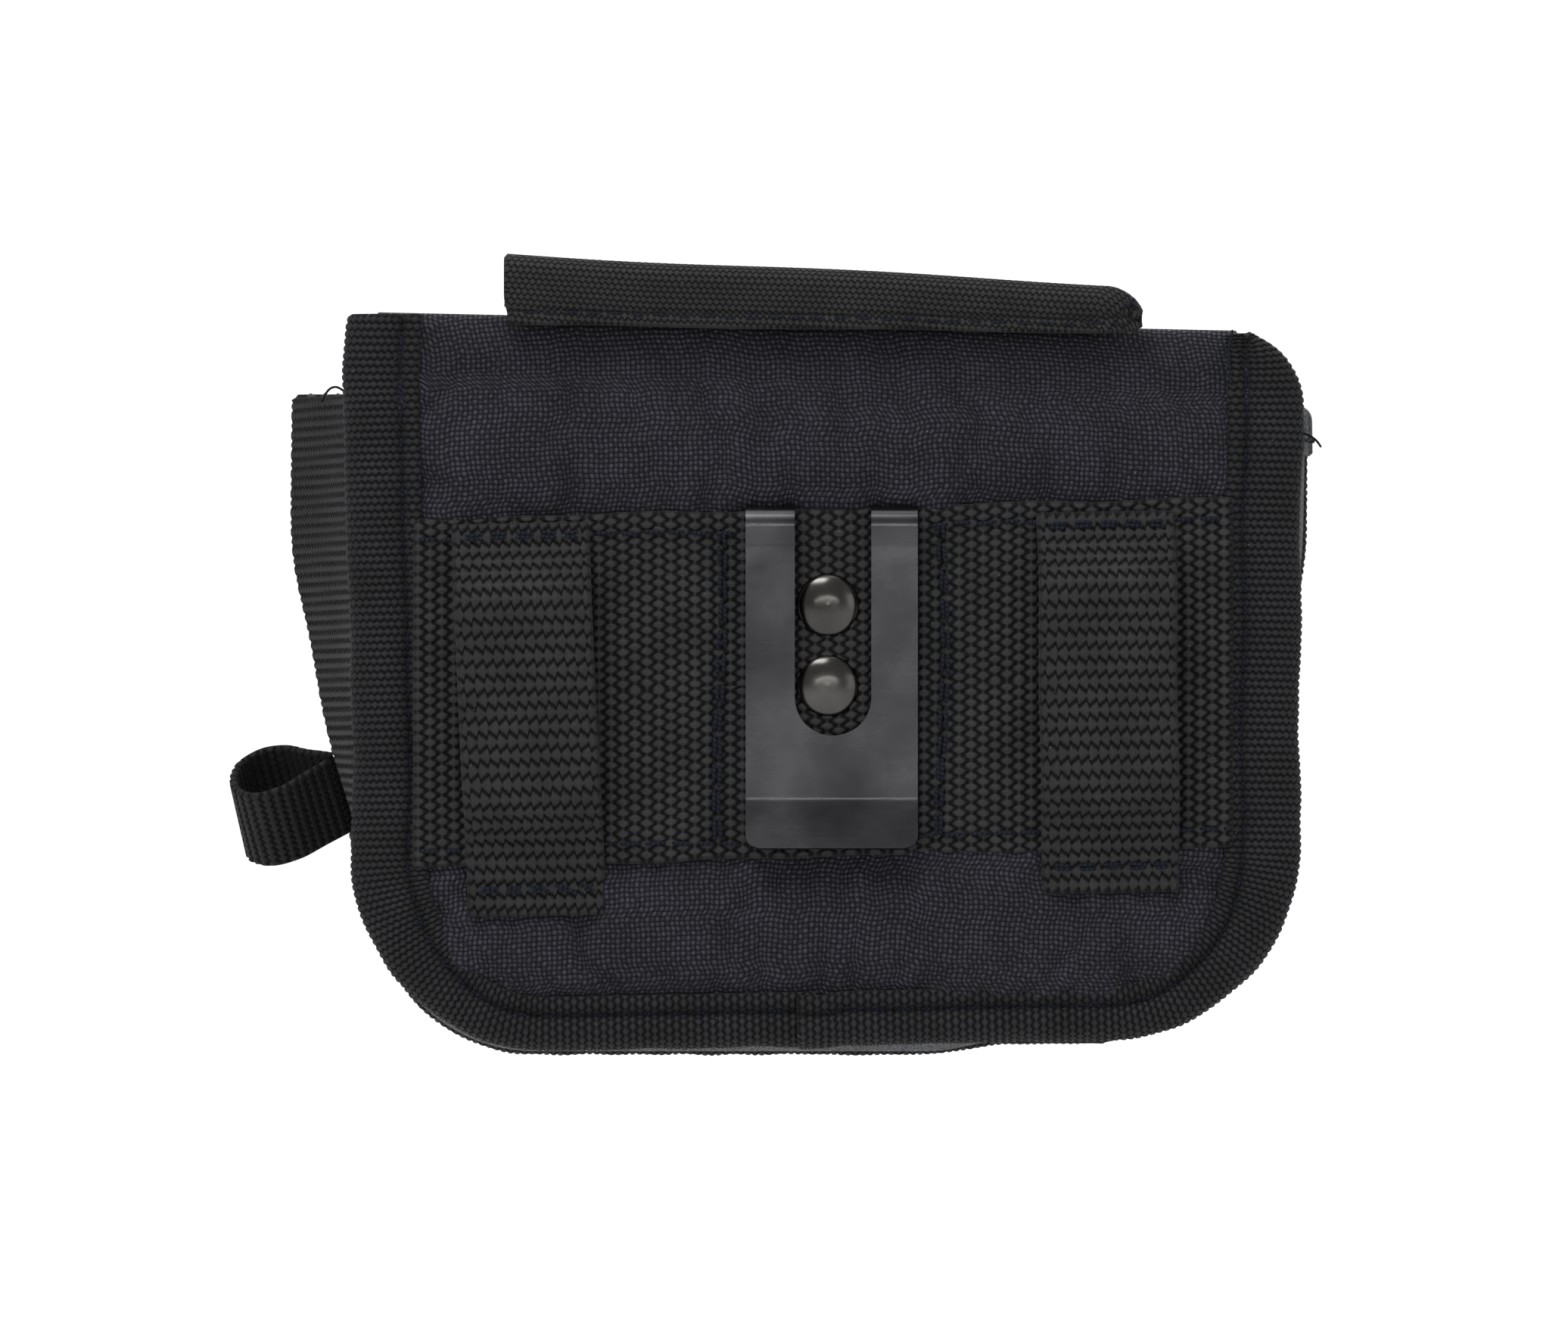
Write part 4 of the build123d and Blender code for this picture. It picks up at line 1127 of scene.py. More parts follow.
# %% Belt loops
for number, (loop_name, loop) in enumerate(LOOPS.items()):
    profile = []
    middle_x = (loop["foot_x"] + loop["top_x"]) / 2
    for z in np.linspace(loop["high"][2] - 0.5, loop["low"][2] + 0.5, 17):
        profile.append((touch([loop_name], (middle_x, -30, z), FORWARDS)[1] + 0.75, z))
    run = curve(profile, 0.3)
    smooth(run, 30)
    share = (run[:, 1] - run[-1, 1]) / (run[0, 1] - run[-1, 1])
    wander = 0.25 * swell(run[:, 1], 0 * share, 30, 71 + number)
    centre = loop["foot_x"] + (loop["top_x"] - loop["foot_x"]) * share + wander
    side = np.linspace(-0.5, 0.5, 64)
    lx = centre[:, None] + loop["width"] * side
    cup = 0.5 * np.abs(2 * side) ** 4 * ease(np.minimum(share, 1 - share) / 0.2)[:, None]
    ly = run[:, :1] + cup + 0.12 * swell(lx, run[:, 1:], 18, 73 + number)
    lz = np.broadcast_to(run[:, 1:], lx.shape) + 0.02 * lx - 0.02 * centre[:, None]
    middle = np.stack([lx, ly, lz], -1)
    strip = webbing(loop_name + "_web", middle, 1.15, REARWARDS, "narrow_webbing", 0.4, "pouch", loop_name)
    for end, inset in (("top", 2.0), ("foot", 3.4)):
        row = int(inset / 0.3) if end == "top" else len(run) - 1 - int(inset / 0.3)
        for pass_number in range(2):
            line = middle[row + (0 if pass_number else -2), 3:-3] + (0, -0.62, 0)
            seam(f"stitches_{loop_name}_{end}_{pass_number}", line, REARWARDS, stitch=3.1,
                 seed=81 + row + pass_number)
print("belt loops made")

# %% [markdown]
# ## Pen sleeve
#
# The sleeve is webbing folded lengthwise: its rear leaf hangs over the panel's top edge as a two-rib lip,
# rises to a fold and comes down in front, where it turns under. Its left end stands open and its right end
# is sewn shut, so there the section is squeezed flat and its corners round off.

# %% Pen sleeve
sleeve_low, sleeve_high = span("pen_sleeve")
sleeve_x = np.linspace(sleeve_low[0] + 0.2, sleeve_high[0] - 0.2, 262)
SLEEVE_ROWS = 104


def sleeve_reach(x, way):
    """Top or lowest edge of the sleeve at x."""
    y = sleeve_low[1] + 0.7 if way > 0 else (sleeve_low[1] + sleeve_high[1]) / 2
    return touch(["pen_sleeve"], (x, y, -150 * way), (0, 0, way))[2]


lip_ends = [sleeve_reach(x, 1) for x in (sleeve_low[0] + 1, sleeve_high[0] - 1)]
top_ends = [sleeve_reach(x, -1) for x in (sleeve_low[0] + 1, sleeve_high[0] - 1)]
rings = []
for x in sleeve_x:
    share = (x - sleeve_low[0]) / (sleeve_high[0] - sleeve_low[0])
    lip = np.interp(share, (0, 1), lip_ends) + 0.12 * math.sin(x / 7)
    top = np.interp(share, (0, 1), top_ends) + 0.22 * math.sin(x / 11 + 1)
    shut = float(ease((share - 0.93) / 0.07))
    rounded = 1 - math.sqrt(1 - min(1.0, max(0.0, (x - sleeve_high[0] + 5.0) / 5.0)) ** 2 * 0.98)
    top -= rounded * 5.2
    lip += rounded * 0.7
    deep = sleeve_high[1] - sleeve_low[1] - 1.5
    deep *= 1 - 0.72 * shut
    rear = sleeve_low[1] + 0.75
    low = min(1.0, (top - lip) / 6.0)
    ring = [(rear + 0.1, lip + 0.2), (rear + 0.15, lip + 1.1 * low), (rear + 0.55, lip + 1.9 * low),
            (rear + 0.1, lip + 2.8 * low), (rear - 0.15, lip + 0.5 * (top - lip)),
            (rear + 0.1, top - 2.2 * low), (rear + 0.22 * deep, top - 1.0 * low),
            (rear + 0.5 * deep, top - 0.7 * low),
            (rear + 0.85 * deep, top - 1.3 * low), (rear + deep, top - 2.4 * low),
            (rear + deep, lip + 4.4 * low), (rear + 0.9 * deep, lip + 3.5 * low),
            (rear + 0.7 * deep, lip + 2.9 * low), (rear + 0.3 * deep + 0.5, lip + 2.7 * low)]
    rings.append(spread(ring, SLEEVE_ROWS))
rings = np.array(rings).transpose(1, 0, 2)
sleeve_middle = np.stack([np.broadcast_to(sleeve_x, rings.shape[:2]), rings[..., 0], rings[..., 1]], -1)
slant = ease((sleeve_low[0] + 5 - sleeve_middle[..., 0]) / 5) * ease((57.5 - sleeve_middle[..., 2]) / 4)
sleeve_middle[..., 0] += 0.6 * slant * (sleeve_middle[..., 1] < rear + 1)
sleeve_middle[..., 1] += 0.14 * swell(sleeve_middle[..., 0], sleeve_middle[..., 2], 18, 91)
sleeve = webbing("pen_sleeve_web", sleeve_middle, 1.15, REARWARDS, "sleeve_webbing", 0.22, "pouch",
                 "pen_sleeve")
GROOVE_ROW = 6
seam("stitches_sleeve", sleeve_middle[GROOVE_ROW, 4:-4] + (0, -0.6, 0), REARWARDS, stitch=2.6, thread=0.22,
     seed=92)
tack_y = sleeve_low[1] + 0.9
tack = [[(44.6 + 0.25 * k, tack_y, 55.1 + 0.35 * k), (45.5 + 0.15 * k, tack_y - 0.8, 56.0),
         (46.3, tack_y, 56.9 - 0.3 * k)] for k in range(4)]
dress(tubes("stitches_sleeve_tack", [curve(line, 0.2) for line in tack], 0.28), "stitching", "pouch")
print("sleeve:", len(sleeve.data.vertices), "points")

# %% [markdown]
# ## Spring clip and rivets
#
# The clip is one bent plate with a long slot. It is modelled as a grid too: the rows follow the bend, the
# leaf and the flared lip, and the grid lines between the legs start on the slot's round end, so the outline
# needs no boolean cut. A small bevel catches the light on its edges. It flexes at its bend, but it is not
# blended there: it is tied to no body.

# %% Bent plate with a slot
def plate(name, middle, normal, keep, thick):
    """Closed plate from a grid with some cells left out."""
    rows, columns = middle.shape[:2]
    total = rows * columns
    cells = grid_faces(rows, columns, 0, False).reshape(rows - 1, columns - 1, 4)[keep]
    used = {(int(a), int(b)) for cell in cells for a, b in zip(cell, np.roll(cell, -1))}
    rim = np.array([(b, a, a + total, b + total) for a, b in used if (b, a) not in used])
    half = normal * thick / 2
    points = np.vstack([(middle + half).reshape(-1, 3), (middle - half).reshape(-1, 3)])
    faces = np.vstack([cells, cells[:, ::-1] + total, rim])
    first = points[cells[0]]
    if np.cross(first[1] - first[0], first[2] - first[0]) @ normal.reshape(-1, 3)[cells[0][0]] < 0:
        faces = faces[:, ::-1]
    names, index = np.unique(faces, return_inverse=True)
    flat = middle.reshape(-1, 3)[:, [2, 0]]
    made = build(name, points[names], index.reshape(faces.shape), np.vstack([flat, flat])[names])
    bevel = made.modifiers.new("edges", "BEVEL")
    bevel.width, bevel.segments, bevel.limit_method = 0.14 * MM, 2, "ANGLE"
    bevel.harden_normals = True
    return made


CLIP_THICK = 0.9
CLIP_STEP = 0.05
leaf_y = {z: touch(["clip_leaf"], (clip_low[0] + 3, -40, z), FORWARDS)[1] + CLIP_THICK / 2
          for z in (18, 0, -13, -20, -24)}
slot_foot = touch(["clip_leaf"], ((SLOT_X[0] + SLOT_X[1]) / 2, leaf_y[0], 10), (0, 0, -1))[2]
plate_rear = clip_high[1] - CLIP_THICK / 2
bend_top = clip_high[2] - CLIP_THICK / 2
bend_half = (plate_rear - leaf_y[18] + CLIP_THICK / 2) / 2
bend_turn = np.radians(np.linspace(0, 180, 30))
bend_arc = np.stack([plate_rear - bend_half * (1 - np.cos(bend_turn)),
                     bend_top - 2.6 * (1 - np.sin(bend_turn))], 1)
lip_slope = (leaf_y[-24] - leaf_y[-20]) / 4
clip_path = even(np.vstack([[plate_rear, 21.8], bend_arc, [leaf_y[18] - 0.4, 22.6], [leaf_y[18], 20.9],
                            [leaf_y[18], 18], [leaf_y[-13], -16.6],
                            [leaf_y[-24] - lip_slope * (-17.2 + 24), -17.2],
                            [leaf_y[-24], clip_low[2] + 0.05]]), CLIP_STEP)
smooth(clip_path, 60)
print("lip leans", round(math.degrees(math.atan(lip_slope)), 1), "degrees, leaf at",
      {z: round(y, 2) for z, y in leaf_y.items()})
path_run = CLIP_STEP * np.arange(len(clip_path))
slot_half = (SLOT_X[1] - SLOT_X[0]) / 2
slot_middle = (SLOT_X[0] + SLOT_X[1]) / 2
foot_run = path_run[-1]
arc_run = path_run[int(np.argmin(np.abs(clip_path[:, 1] - slot_foot - slot_half)))]
meet_run = arc_run + slot_half + 2.0
leg_left = np.array([0, 0.3, *np.linspace(0.8, 6.9, 12), 7.3]) / 7.3 * (SLOT_X[0] - clip_low[0]) + clip_low[0]
leg_share = (clip_low[0] - leg_left[::-1]) / (SLOT_X[0] - clip_low[0])
leg_right = clip_high[0] + leg_share * (clip_high[0] - SLOT_X[1])
arc_x = slot_middle - slot_half * np.cos(np.linspace(0, math.pi, 25))
columns_x = np.concatenate([leg_left, arc_x[1:-1], leg_right])
in_slot = (columns_x > SLOT_X[0] + 1e-6) & (columns_x < SLOT_X[1] - 1e-6)
upper = np.concatenate([np.arange(0, 11, 0.2), np.arange(11, arc_run - 0.3, 0.6)])
arc_drop = np.sqrt(np.maximum(slot_half ** 2 - (columns_x - slot_middle) ** 2, 0))
arc_start = arc_run + np.where(in_slot, arc_drop, 0)
t = np.linspace(0, 1, 14)[:, None]
foot_rows = foot_run - 2.1 * np.cos(np.linspace(0, math.pi / 2, 9))
lower = np.concatenate([np.arange(meet_run + 0.4, foot_run - 2.2, 0.3), foot_rows])
runs = np.vstack([np.tile(upper[:, None], (1, len(columns_x))), arc_start + t * (meet_run - arc_start),
                  np.tile(lower[:, None], (1, len(columns_x)))])
clip_y, clip_z = (np.interp(runs, path_run, clip_path[:, k]) for k in (0, 1))
slope_y, slope_z = (np.interp(runs, path_run, np.gradient(clip_path[:, k], CLIP_STEP)) for k in (0, 1))
corner_pull = 2.0 - np.sqrt(np.maximum(4.0 - np.maximum(2.0 - (foot_run - runs), 0) ** 2, 0))
outer_share = np.where(columns_x < slot_middle, (SLOT_X[0] - columns_x) / (SLOT_X[0] - clip_low[0]),
                       (columns_x - SLOT_X[1]) / (clip_high[0] - SLOT_X[1]))
clip_x = columns_x + np.where(columns_x < slot_middle, 1, -1) * corner_pull * np.clip(outer_share, 0, 1)
keep = np.ones((len(runs) - 1, len(columns_x) - 1), bool)
gap_cells = in_slot[1:] | in_slot[:-1]
keep[:len(upper), gap_cells] = False
clip_normal = unit(np.stack([0 * runs, slope_z, -slope_y], -1))
clip = plate("spring_clip", np.stack([clip_x, clip_y, clip_z], -1), clip_normal, keep, CLIP_THICK)
dress(clip, "blackened_steel", None, "clip_leaf")
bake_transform(clip)
print("clip:", len(clip.data.vertices), "points, leaf at y", round(leaf_y[0], 2))

# %% Rivets
def turned(name, profile, centre, sides=96):
    """Round body from a profile of (radius, depth), turned about the depth axis."""
    profile = curve(profile, 0.09)
    turns = np.linspace(0, 2 * math.pi, sides, endpoint=False)
    radius = np.maximum(profile[:, :1], 0.004)
    points = np.stack([centre[0] + radius * np.cos(turns), centre[1] + np.repeat(profile[:, 1:], sides, 1),
                       centre[2] + radius * np.sin(turns)], -1)
    index = np.arange(len(profile) * sides).reshape(-1, sides)
    points = points.reshape(-1, 3)
    return build(name, points, ring_faces(index), points[:, [0, 2]])


cap_low, cap_high = span("rivet_caps")
cap_radius = (cap_high[0] - cap_low[0]) / 2
cap_rise = -cap_low[1]
for number, cap_z in enumerate((cap_high[2] - cap_radius, cap_low[2] + cap_radius)):
    dome = [(0.0, -cap_rise), (1.7, -cap_rise + 0.12), (3.1, -cap_rise + 0.48), (4.1, -cap_rise + 0.98),
            (cap_radius - 0.08, -cap_rise + 1.5), (cap_radius, -0.05), (cap_radius - 0.15, 0.1), (1.5, 0.15),
            (1.5, cap_high[1])]
    cap = turned(f"rivet_cap_{number}", dome, ((cap_low[0] + cap_high[0]) / 2, 0.0, cap_z))
    dress(cap, "rivet_steel", "pouch")
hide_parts("rivet_caps")
for node, finish in (("rivet_backs", "rivet_steel"), ("clip_rear_plate", "blackened_steel")):
    frame["nodes"][node].data.materials.clear()
    frame["nodes"][node].data.materials.append(FINISH[finish])
print("rivets turned")

# %% [markdown]
# ## Pocket walls
#
# The gusset is one strip that runs down the left side, under the pocket and up the right side. Its
# outline is read off the CAD gusset with rays from outside, at a row of depths, and bowed in a little
# between its seams. The side webbing lies over its left run, and its right mouth edge is folded over.

# %% Gusset
def outline_at(nodes, y, first, last, count):
    """Even points round the outside of some nodes at a depth, between two directions in degrees."""
    points = []
    for turn in np.radians(np.linspace(first, last, 420)):
        way = np.array([math.cos(turn), 0, math.sin(turn)])
        hit = touch(nodes, 160 * way + (0, y, 0), -way)
        if hit is not None and hit @ way > 30:
            points.append(hit[[0, 2]])
    points = even(points, 0.2)
    smooth(points, 25)
    traced = resample(points, count)
    # the pocket's foot rises a little towards its right, so that the back panel hides it there
    traced[:, 1] += 1.6 * ease((traced[:, 0] - 16) / 12) * ease((-traced[:, 1] - 38) / 10)
    return traced


def off_outline(points, inwards):
    """A flat outline moved inwards, for points that run anticlockwise."""
    along = tangents(points)
    inwards = np.broadcast_to(inwards, (len(points),))[:, None]
    return points + inwards * np.stack([-along[:, 1], along[:, 0]], 1)


gusset_low, gusset_high = span("gusset")
depths = np.linspace(gusset_low[1] + 0.1, gusset_high[1] - 0.1, 40)
bow = 0.7 * np.sin(math.pi * np.linspace(0, 1, len(depths)))
gusset_rows = []
for y, bowed in zip(depths, bow):
    to_right = ease((np.arange(460) - 340) / 60)
    walls = off_outline(outline_at(["gusset"], y, 145, 395, 460), 0.65 + bowed * (1 - 2.1 * to_right))
    gusset_rows.append(np.stack([walls[:, 0], np.full(len(walls), y), walls[:, 1]], 1))
gusset_middle = np.array(gusset_rows)
gusset = sheet("gusset_wall", gusset_middle, 1.2, (0, 0, -1))
dress(gusset, "grey_gusset", "pouch", "gusset")
print("gusset:", gusset_middle.shape[:2], "mouth at", gusset_middle[20, [0, -1], 2].round(1))

# %% Side webbing over the left gusset, and the turned rim at the right
web_low, web_high = span("side_web")
web_z = np.linspace(web_low[2] + 0.4, web_high[2] - 0.6, 190)
web_y = np.linspace(web_low[1] + 0.2, web_high[1] - 0.2, 70)
coarse_z, coarse_y = np.linspace(web_z[0], web_z[-1], 24), np.linspace(web_y[0], web_y[-1], 9)
coarse = np.array([[touch(["side_web"], (-160, y, z), (1, 0, 0))[0] for y in coarse_y] for z in coarse_z])
along_y = np.array([np.interp(web_y, coarse_y, row) for row in coarse])
web_x = np.array([np.interp(web_z, coarse_z, column) for column in along_y.T]).T
web_x = web_x + 0.75 + 0.7 * np.sin(math.pi * (web_y - web_y[0]) / (web_y[-1] - web_y[0]))
web_x = web_x + 0.25 * swell(web_y[None, :], web_z[:, None], 26, 101)
side_middle = np.stack(np.broadcast_arrays(web_x, web_y, web_z[:, None]), -1)
side = webbing("side_web_strip", side_middle, 1.15, (-1, 0, 0), "side_webbing", 0.24, "pouch", "side_web")

rim_low, rim_high = span("gusset_rim")
rim_rows = []
rim_depths = np.linspace(rim_low[1] + 0.2, rim_high[1] - 0.2, 70)
for y in rim_depths:
    right_mouth = gusset_middle[int(np.argmin(np.abs(depths - y))), -1]
    foot = gusset_middle[int(np.argmin(np.abs(depths - y))), -24]
    down = (foot - right_mouth) / np.linalg.norm(foot - right_mouth)
    out = np.array([-down[2], 0, down[0]])
    out = out if out[0] > 0 else -out
    place = np.array([right_mouth[0], y, right_mouth[2]])
    wave = 0.2 * math.sin(y / 4)
    fold = [place + far * down + off * out for far, off in (
        (5.8, 1.2 + wave), (2.5, 1.25), (0.3, 1.05), (-0.6, 0), (0.3, -1.05), (2.5, -1.2), (5.6, -1.15))]
    rim_rows.append(spread(fold, 46))
rim = sheet("gusset_rim_fold", np.array(rim_rows), 1.0, (1, 0, 0))
dress(rim, "grey_gusset", "pouch", "gusset_rim")
rim_line = np.array(rim_rows)[2:-2, 6] + (0.5, 0, 0)
seam("stitches_gusset_rim", rim_line, (1, 0, 0), stitch=3.2, seed=102)
print("side webbing and rim made")

# %% Front panel with its lining, and the tapes round it
def front_layer(name, node, thick, finish, crown):
    """One layer of the front panel, filling its outline."""
    low, high = span(node)
    y = (low[1] + high[1]) / 2
    share = np.linspace(0, 1, 120) ** 1.5
    across = np.linspace(0, 1, 150)
    foot, top = low[2] + 0.3, high[2] - 0.5
    rows_z = foot + (top - foot) * share
    left = np.array([touch([node], (-160, y, min(z, top - 1.5)), (1, 0, 0))[0] + 0.3 for z in rows_z])
    right = np.array([touch([node], (160, y, min(z, top - 3.5)), (-1, 0, 0))[0] - 0.3 for z in rows_z])
    gx = left[:, None] + (right - left)[:, None] * across
    mouth_line = top - (gx - low[0]) * MOUTH_FALL
    gz = foot + (mouth_line - foot) * share[:, None]
    near = np.minimum(gx - left[:, None], right[:, None] - gx)
    gy = y + crown * ease(np.minimum(near, gz - foot) / 22) * (1 + 0.4 * swell(gx, gz, 34, 111))
    made = sheet(name, np.stack([gx, gy, gz], -1), thick, FORWARDS)
    return dress(made, finish, "pouch", node)


mouth_left = touch(["front_panel_outer"], (-60, 39, 150), (0, 0, -1))[2]
mouth_right = touch(["front_panel_outer"], (55, 39, 150), (0, 0, -1))[2]
MOUTH_FALL = (mouth_left - mouth_right) / 115
front_cloth = front_layer("front_cloth", "front_panel_outer", 0.95, "ballistic_cloth", 0.25)
front_lining = front_layer("front_lining", "front_panel_lining", 1.15, "lining_cloth", 0.2)
tape_low, tape_high = span("front_binding")
FRONT_Y = (tape_low[1] + tape_high[1]) / 2
FRONT_HALF = (tape_high[1] - tape_low[1]) / 2 - 0.5
FRONT_WIDTH = 7.0
outer = even(outline_at(["front_binding"], FRONT_Y, 146, 394, 1100), 0.34)
front_edge, front_in = stand_up(outer, FRONT_Y)
front_tape = bind("front_tape", front_edge, front_in, FORWARDS, FRONT_WIDTH, FRONT_HALF)
dress(front_tape, "binding_tape", "pouch", "front_binding")
stitch_line = front_edge + front_in * (FRONT_WIDTH - LIP) + (0, FRONT_HALF - 0.7, 0)
seam("stitches_front", stitch_line[6:-6], FORWARDS, seed=112)
mouth_low, mouth_high = span("mouth_binding")
mx = np.arange(mouth_low[0] + 0.3, mouth_high[0] - 0.2, 0.3)
mouth_z = mouth_high[2] - (mx - mouth_low[0]) * MOUTH_FALL + 0.2 * swell(mx, 0 * mx, 40, 113)
mouth_edge = np.stack([mx, np.full(len(mx), FRONT_Y), mouth_z], 1)
mouth_tape = bind("mouth_tape", mouth_edge, (0, 0, -1), FORWARDS, FRONT_WIDTH, FRONT_HALF)
dress(mouth_tape, "binding_tape", "pouch", "mouth_binding")
seam("stitches_mouth", mouth_edge[6:-6] + (0, FRONT_HALF - 0.7, LIP - FRONT_WIDTH), FORWARDS, seed=114)
print("front panel taped")

# %% Patch pocket
patch_low, patch_high = span("patch_pocket")
PATCH_DEEP = patch_high[1] - patch_low[1] - 0.6
side_rise = spread([(0, 0), (0.35, 0.25), (1.3, 0.75), (3.2, 0.97), (7, 1.0)], 46)
side_rise = np.column_stack([side_rise[:, 0] - side_rise[0, 0], side_rise[:, 1] / side_rise[-1, 1]])
half_wide = (patch_high[0] - patch_low[0]) / 2 - 0.6
inner_x = np.linspace(side_rise[-1, 0] + 0.6, 2 * half_wide - side_rise[-1, 0] - 0.6, 130)
px = np.concatenate([side_rise[:, 0], inner_x, 2 * half_wide - side_rise[::-1, 0]]) / (2 * half_wide)
pf = np.concatenate([side_rise[:, 1], np.ones(130), side_rise[::-1, 1]])
inner_z = np.linspace(side_rise[-1, 0] + 0.5, patch_high[2] - patch_low[2] - 0.6, 80)
pz = np.concatenate([side_rise[:, 0], inner_z])
pg = np.concatenate([side_rise[:, 1], np.ones(80)])
turn = 11.0
cut_in = turn - np.sqrt(np.maximum(turn ** 2 - np.maximum(turn - pz, 0) ** 2, 0))
gx = patch_low[0] + 0.6 + cut_in[:, None] + (2 * half_wide - 2 * cut_in[:, None]) * px
gz = np.broadcast_to((patch_low[2] + 0.4 + pz)[:, None], gx.shape)
puffed = 1 + 0.03 * swell(gx, gz, 30, 121) - 0.05 * ease((gz + 8) / 12)
gy = patch_low[1] + 0.55 + (PATCH_DEEP - 0.6) * pf * pg[:, None] * puffed
patch_middle = np.stack([gx, gy, gz], -1)
patch = sheet("patch_cloth", patch_middle, 1.0, FORWARDS)
dress(patch, "ballistic_cloth", "pouch", "patch_pocket")
strip_low, strip_high = span("patch_pocket_binding")
on_top = (gx[-1] > strip_low[0]) & (gx[-1] < strip_high[0]) & (pf > 0.99)
patch_edge = even(patch_middle[-1, on_top] + (0, 0, 0.9), 0.3)
patch_tape = bind("patch_tape", patch_edge, (0, 0, -1), FORWARDS, FRONT_WIDTH, 0.9, thick=0.75)
dress(patch_tape, "binding_tape", "pouch", "patch_pocket_binding")
seam("stitches_patch", patch_edge[5:-5] + (0, 0.3, LIP - FRONT_WIDTH), FORWARDS, seed=122)
print("patch pocket made")

# %% [markdown]
# ## Flap
#
# The flap's front half continues the back cloth from the middle of its top, goes over the bend and hangs down
# in front. Cloth and lining share the same run, and tape goes round all of it, in pieces that meet end to end
# at the middle of the flap's top. The flap's cloth, lining and tapes are tied to no body.

# %% Flap cloth, lining and tapes
FLAP_ROUND = 22.0
FLAP_END = flap_run[-1, 1] + top_tilt * 40
hang_from = corner_z - 14
longer = (FLAP_END - hang_from) / (flap_run[-1, 1] - hang_from)
flap_run[:, 1] = np.where(flap_run[:, 1] < hang_from, hang_from + (flap_run[:, 1] - hang_from) * longer,
                          flap_run[:, 1])


def round_in(run, turn, extra=0.0):
    """How far the flap's sides come in near its rounded foot."""
    drop = np.maximum(turn - (run[:, 1] - run[-1, 1]), 0) * (run[:, 0] > bend_at[1] - 3)
    return turn - np.sqrt(np.maximum(turn ** 2 - drop ** 2, 0)) + extra


def flap_layer(name, first, last, depth, thick, finish, ends, *nodes):
    """One layer of the flap between two steps of its run."""
    run = run_off(flap_run, depth)
    pull = round_in(run, FLAP_ROUND)[first:last]
    run = run[first:last]
    grid = flap_surface(run, FLAP_SIDES[0] + 0.2 + pull, FLAP_SIDES[1] - 0.2 - pull, 190)
    wave = swell(grid[..., 0], grid[..., 1] * 2 + grid[..., 2], 26, 31) * 0.3
    hang = ease((grid[..., 1] - bend_at[1] + 1) / 2)
    grid[..., 2] += wave * (1 - hang) * ease((grid[..., 1] - 9) / 5)
    lower = ease((corner_z - grid[..., 2]) / 8)
    grid[..., 1] += 0.5 * swell(grid[..., 0], grid[..., 2], 44, 33) * hang * lower
    return blend_flap(dress(sheet(name, grid, thick, (0, 1, 1)), finish, None, *nodes))


def blend_flap(made):
    """Bake a piece's placement into its mesh; it is not blended between bodies."""
    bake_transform(made)
    return made


FOLD_ENDS = (("pouch", "flap_top"), fold_at, np.array([0, 2.7, 0]))
BEND_ENDS = (("flap_top", "flap_front"), bend_at, np.array([0, 1.0, -2.5]))
flap_cloth = flap_layer("flap_cloth", MID_FLAP, len(flap_run), SKIN / 2, SKIN, "ballistic_cloth", BEND_ENDS,
                        "flap_top_outer", "flap_front_outer")
first_lining = int(np.argmin(np.abs(flap_run[:, 0] - fold_at[1] + 1.0) + 99 * (flap_run[:, 1] < 50)))
first_tape = int(np.argmin(np.abs(flap_run[:, 0] - fold_at[1] - 1.6) + 99 * (flap_run[:, 1] < 50)))
lining_top = flap_layer("flap_lining_top", first_lining, MID_FLAP + 1, 1.6, 1.0, "lining_cloth", FOLD_ENDS,
                        "flap_top_lining")
lining_drop = flap_layer("flap_lining_front", MID_FLAP, len(flap_run), 1.6, 1.0, "lining_cloth", BEND_ENDS,
                         "flap_front_lining")
centre_run = run_off(flap_run, 1.1)
profile_along = tangents(centre_run)
profile_out = np.stack([0 * centre_run[:, 0], -profile_along[:, 1], profile_along[:, 0]], 1)
FLAP_EDGE = (span("flap_front_binding")[0][0] + 0.2, span("flap_front_binding")[1][0] - 0.2)
TAPE_WIDE = 9.0


def flap_edge(x_side, first, last):
    """Edge of the flap down one side: points, way inwards and way off the outer face."""
    pull = round_in(centre_run, FLAP_ROUND + 1.0)[first:last]
    run = centre_run[first:last]
    x = x_side - np.sign(x_side) * pull
    points = np.stack([x, run[:, 0], run[:, 1] - top_tilt * x], 1)
    wave = 0.3 * swell(points[:, 0], points[:, 1] * 2 + points[:, 2], 26, 31)
    points[:, 2] += wave * (run[:, 0] < bend_at[1])
    return points, profile_out[first:last]


def flap_tape(name, points, out, node):
    """Tape along a flap edge."""
    fine = even(np.hstack([points, out]), 0.3)
    points, out = fine[:, :3], fine[:, 3:]
    smooth(points, 8)
    out = unit(out)
    inward = unit(np.cross(tangents(points), out))
    slim = 0.75 * (1 - ease((points[:, 1] - fold_at[1] - 1.6) / 5))
    made = bind(name, points - out * slim[:, None] * 0.6, inward, out, TAPE_WIDE, 1.6 - slim)
    blend_flap(dress(made, "binding_tape", None, node))


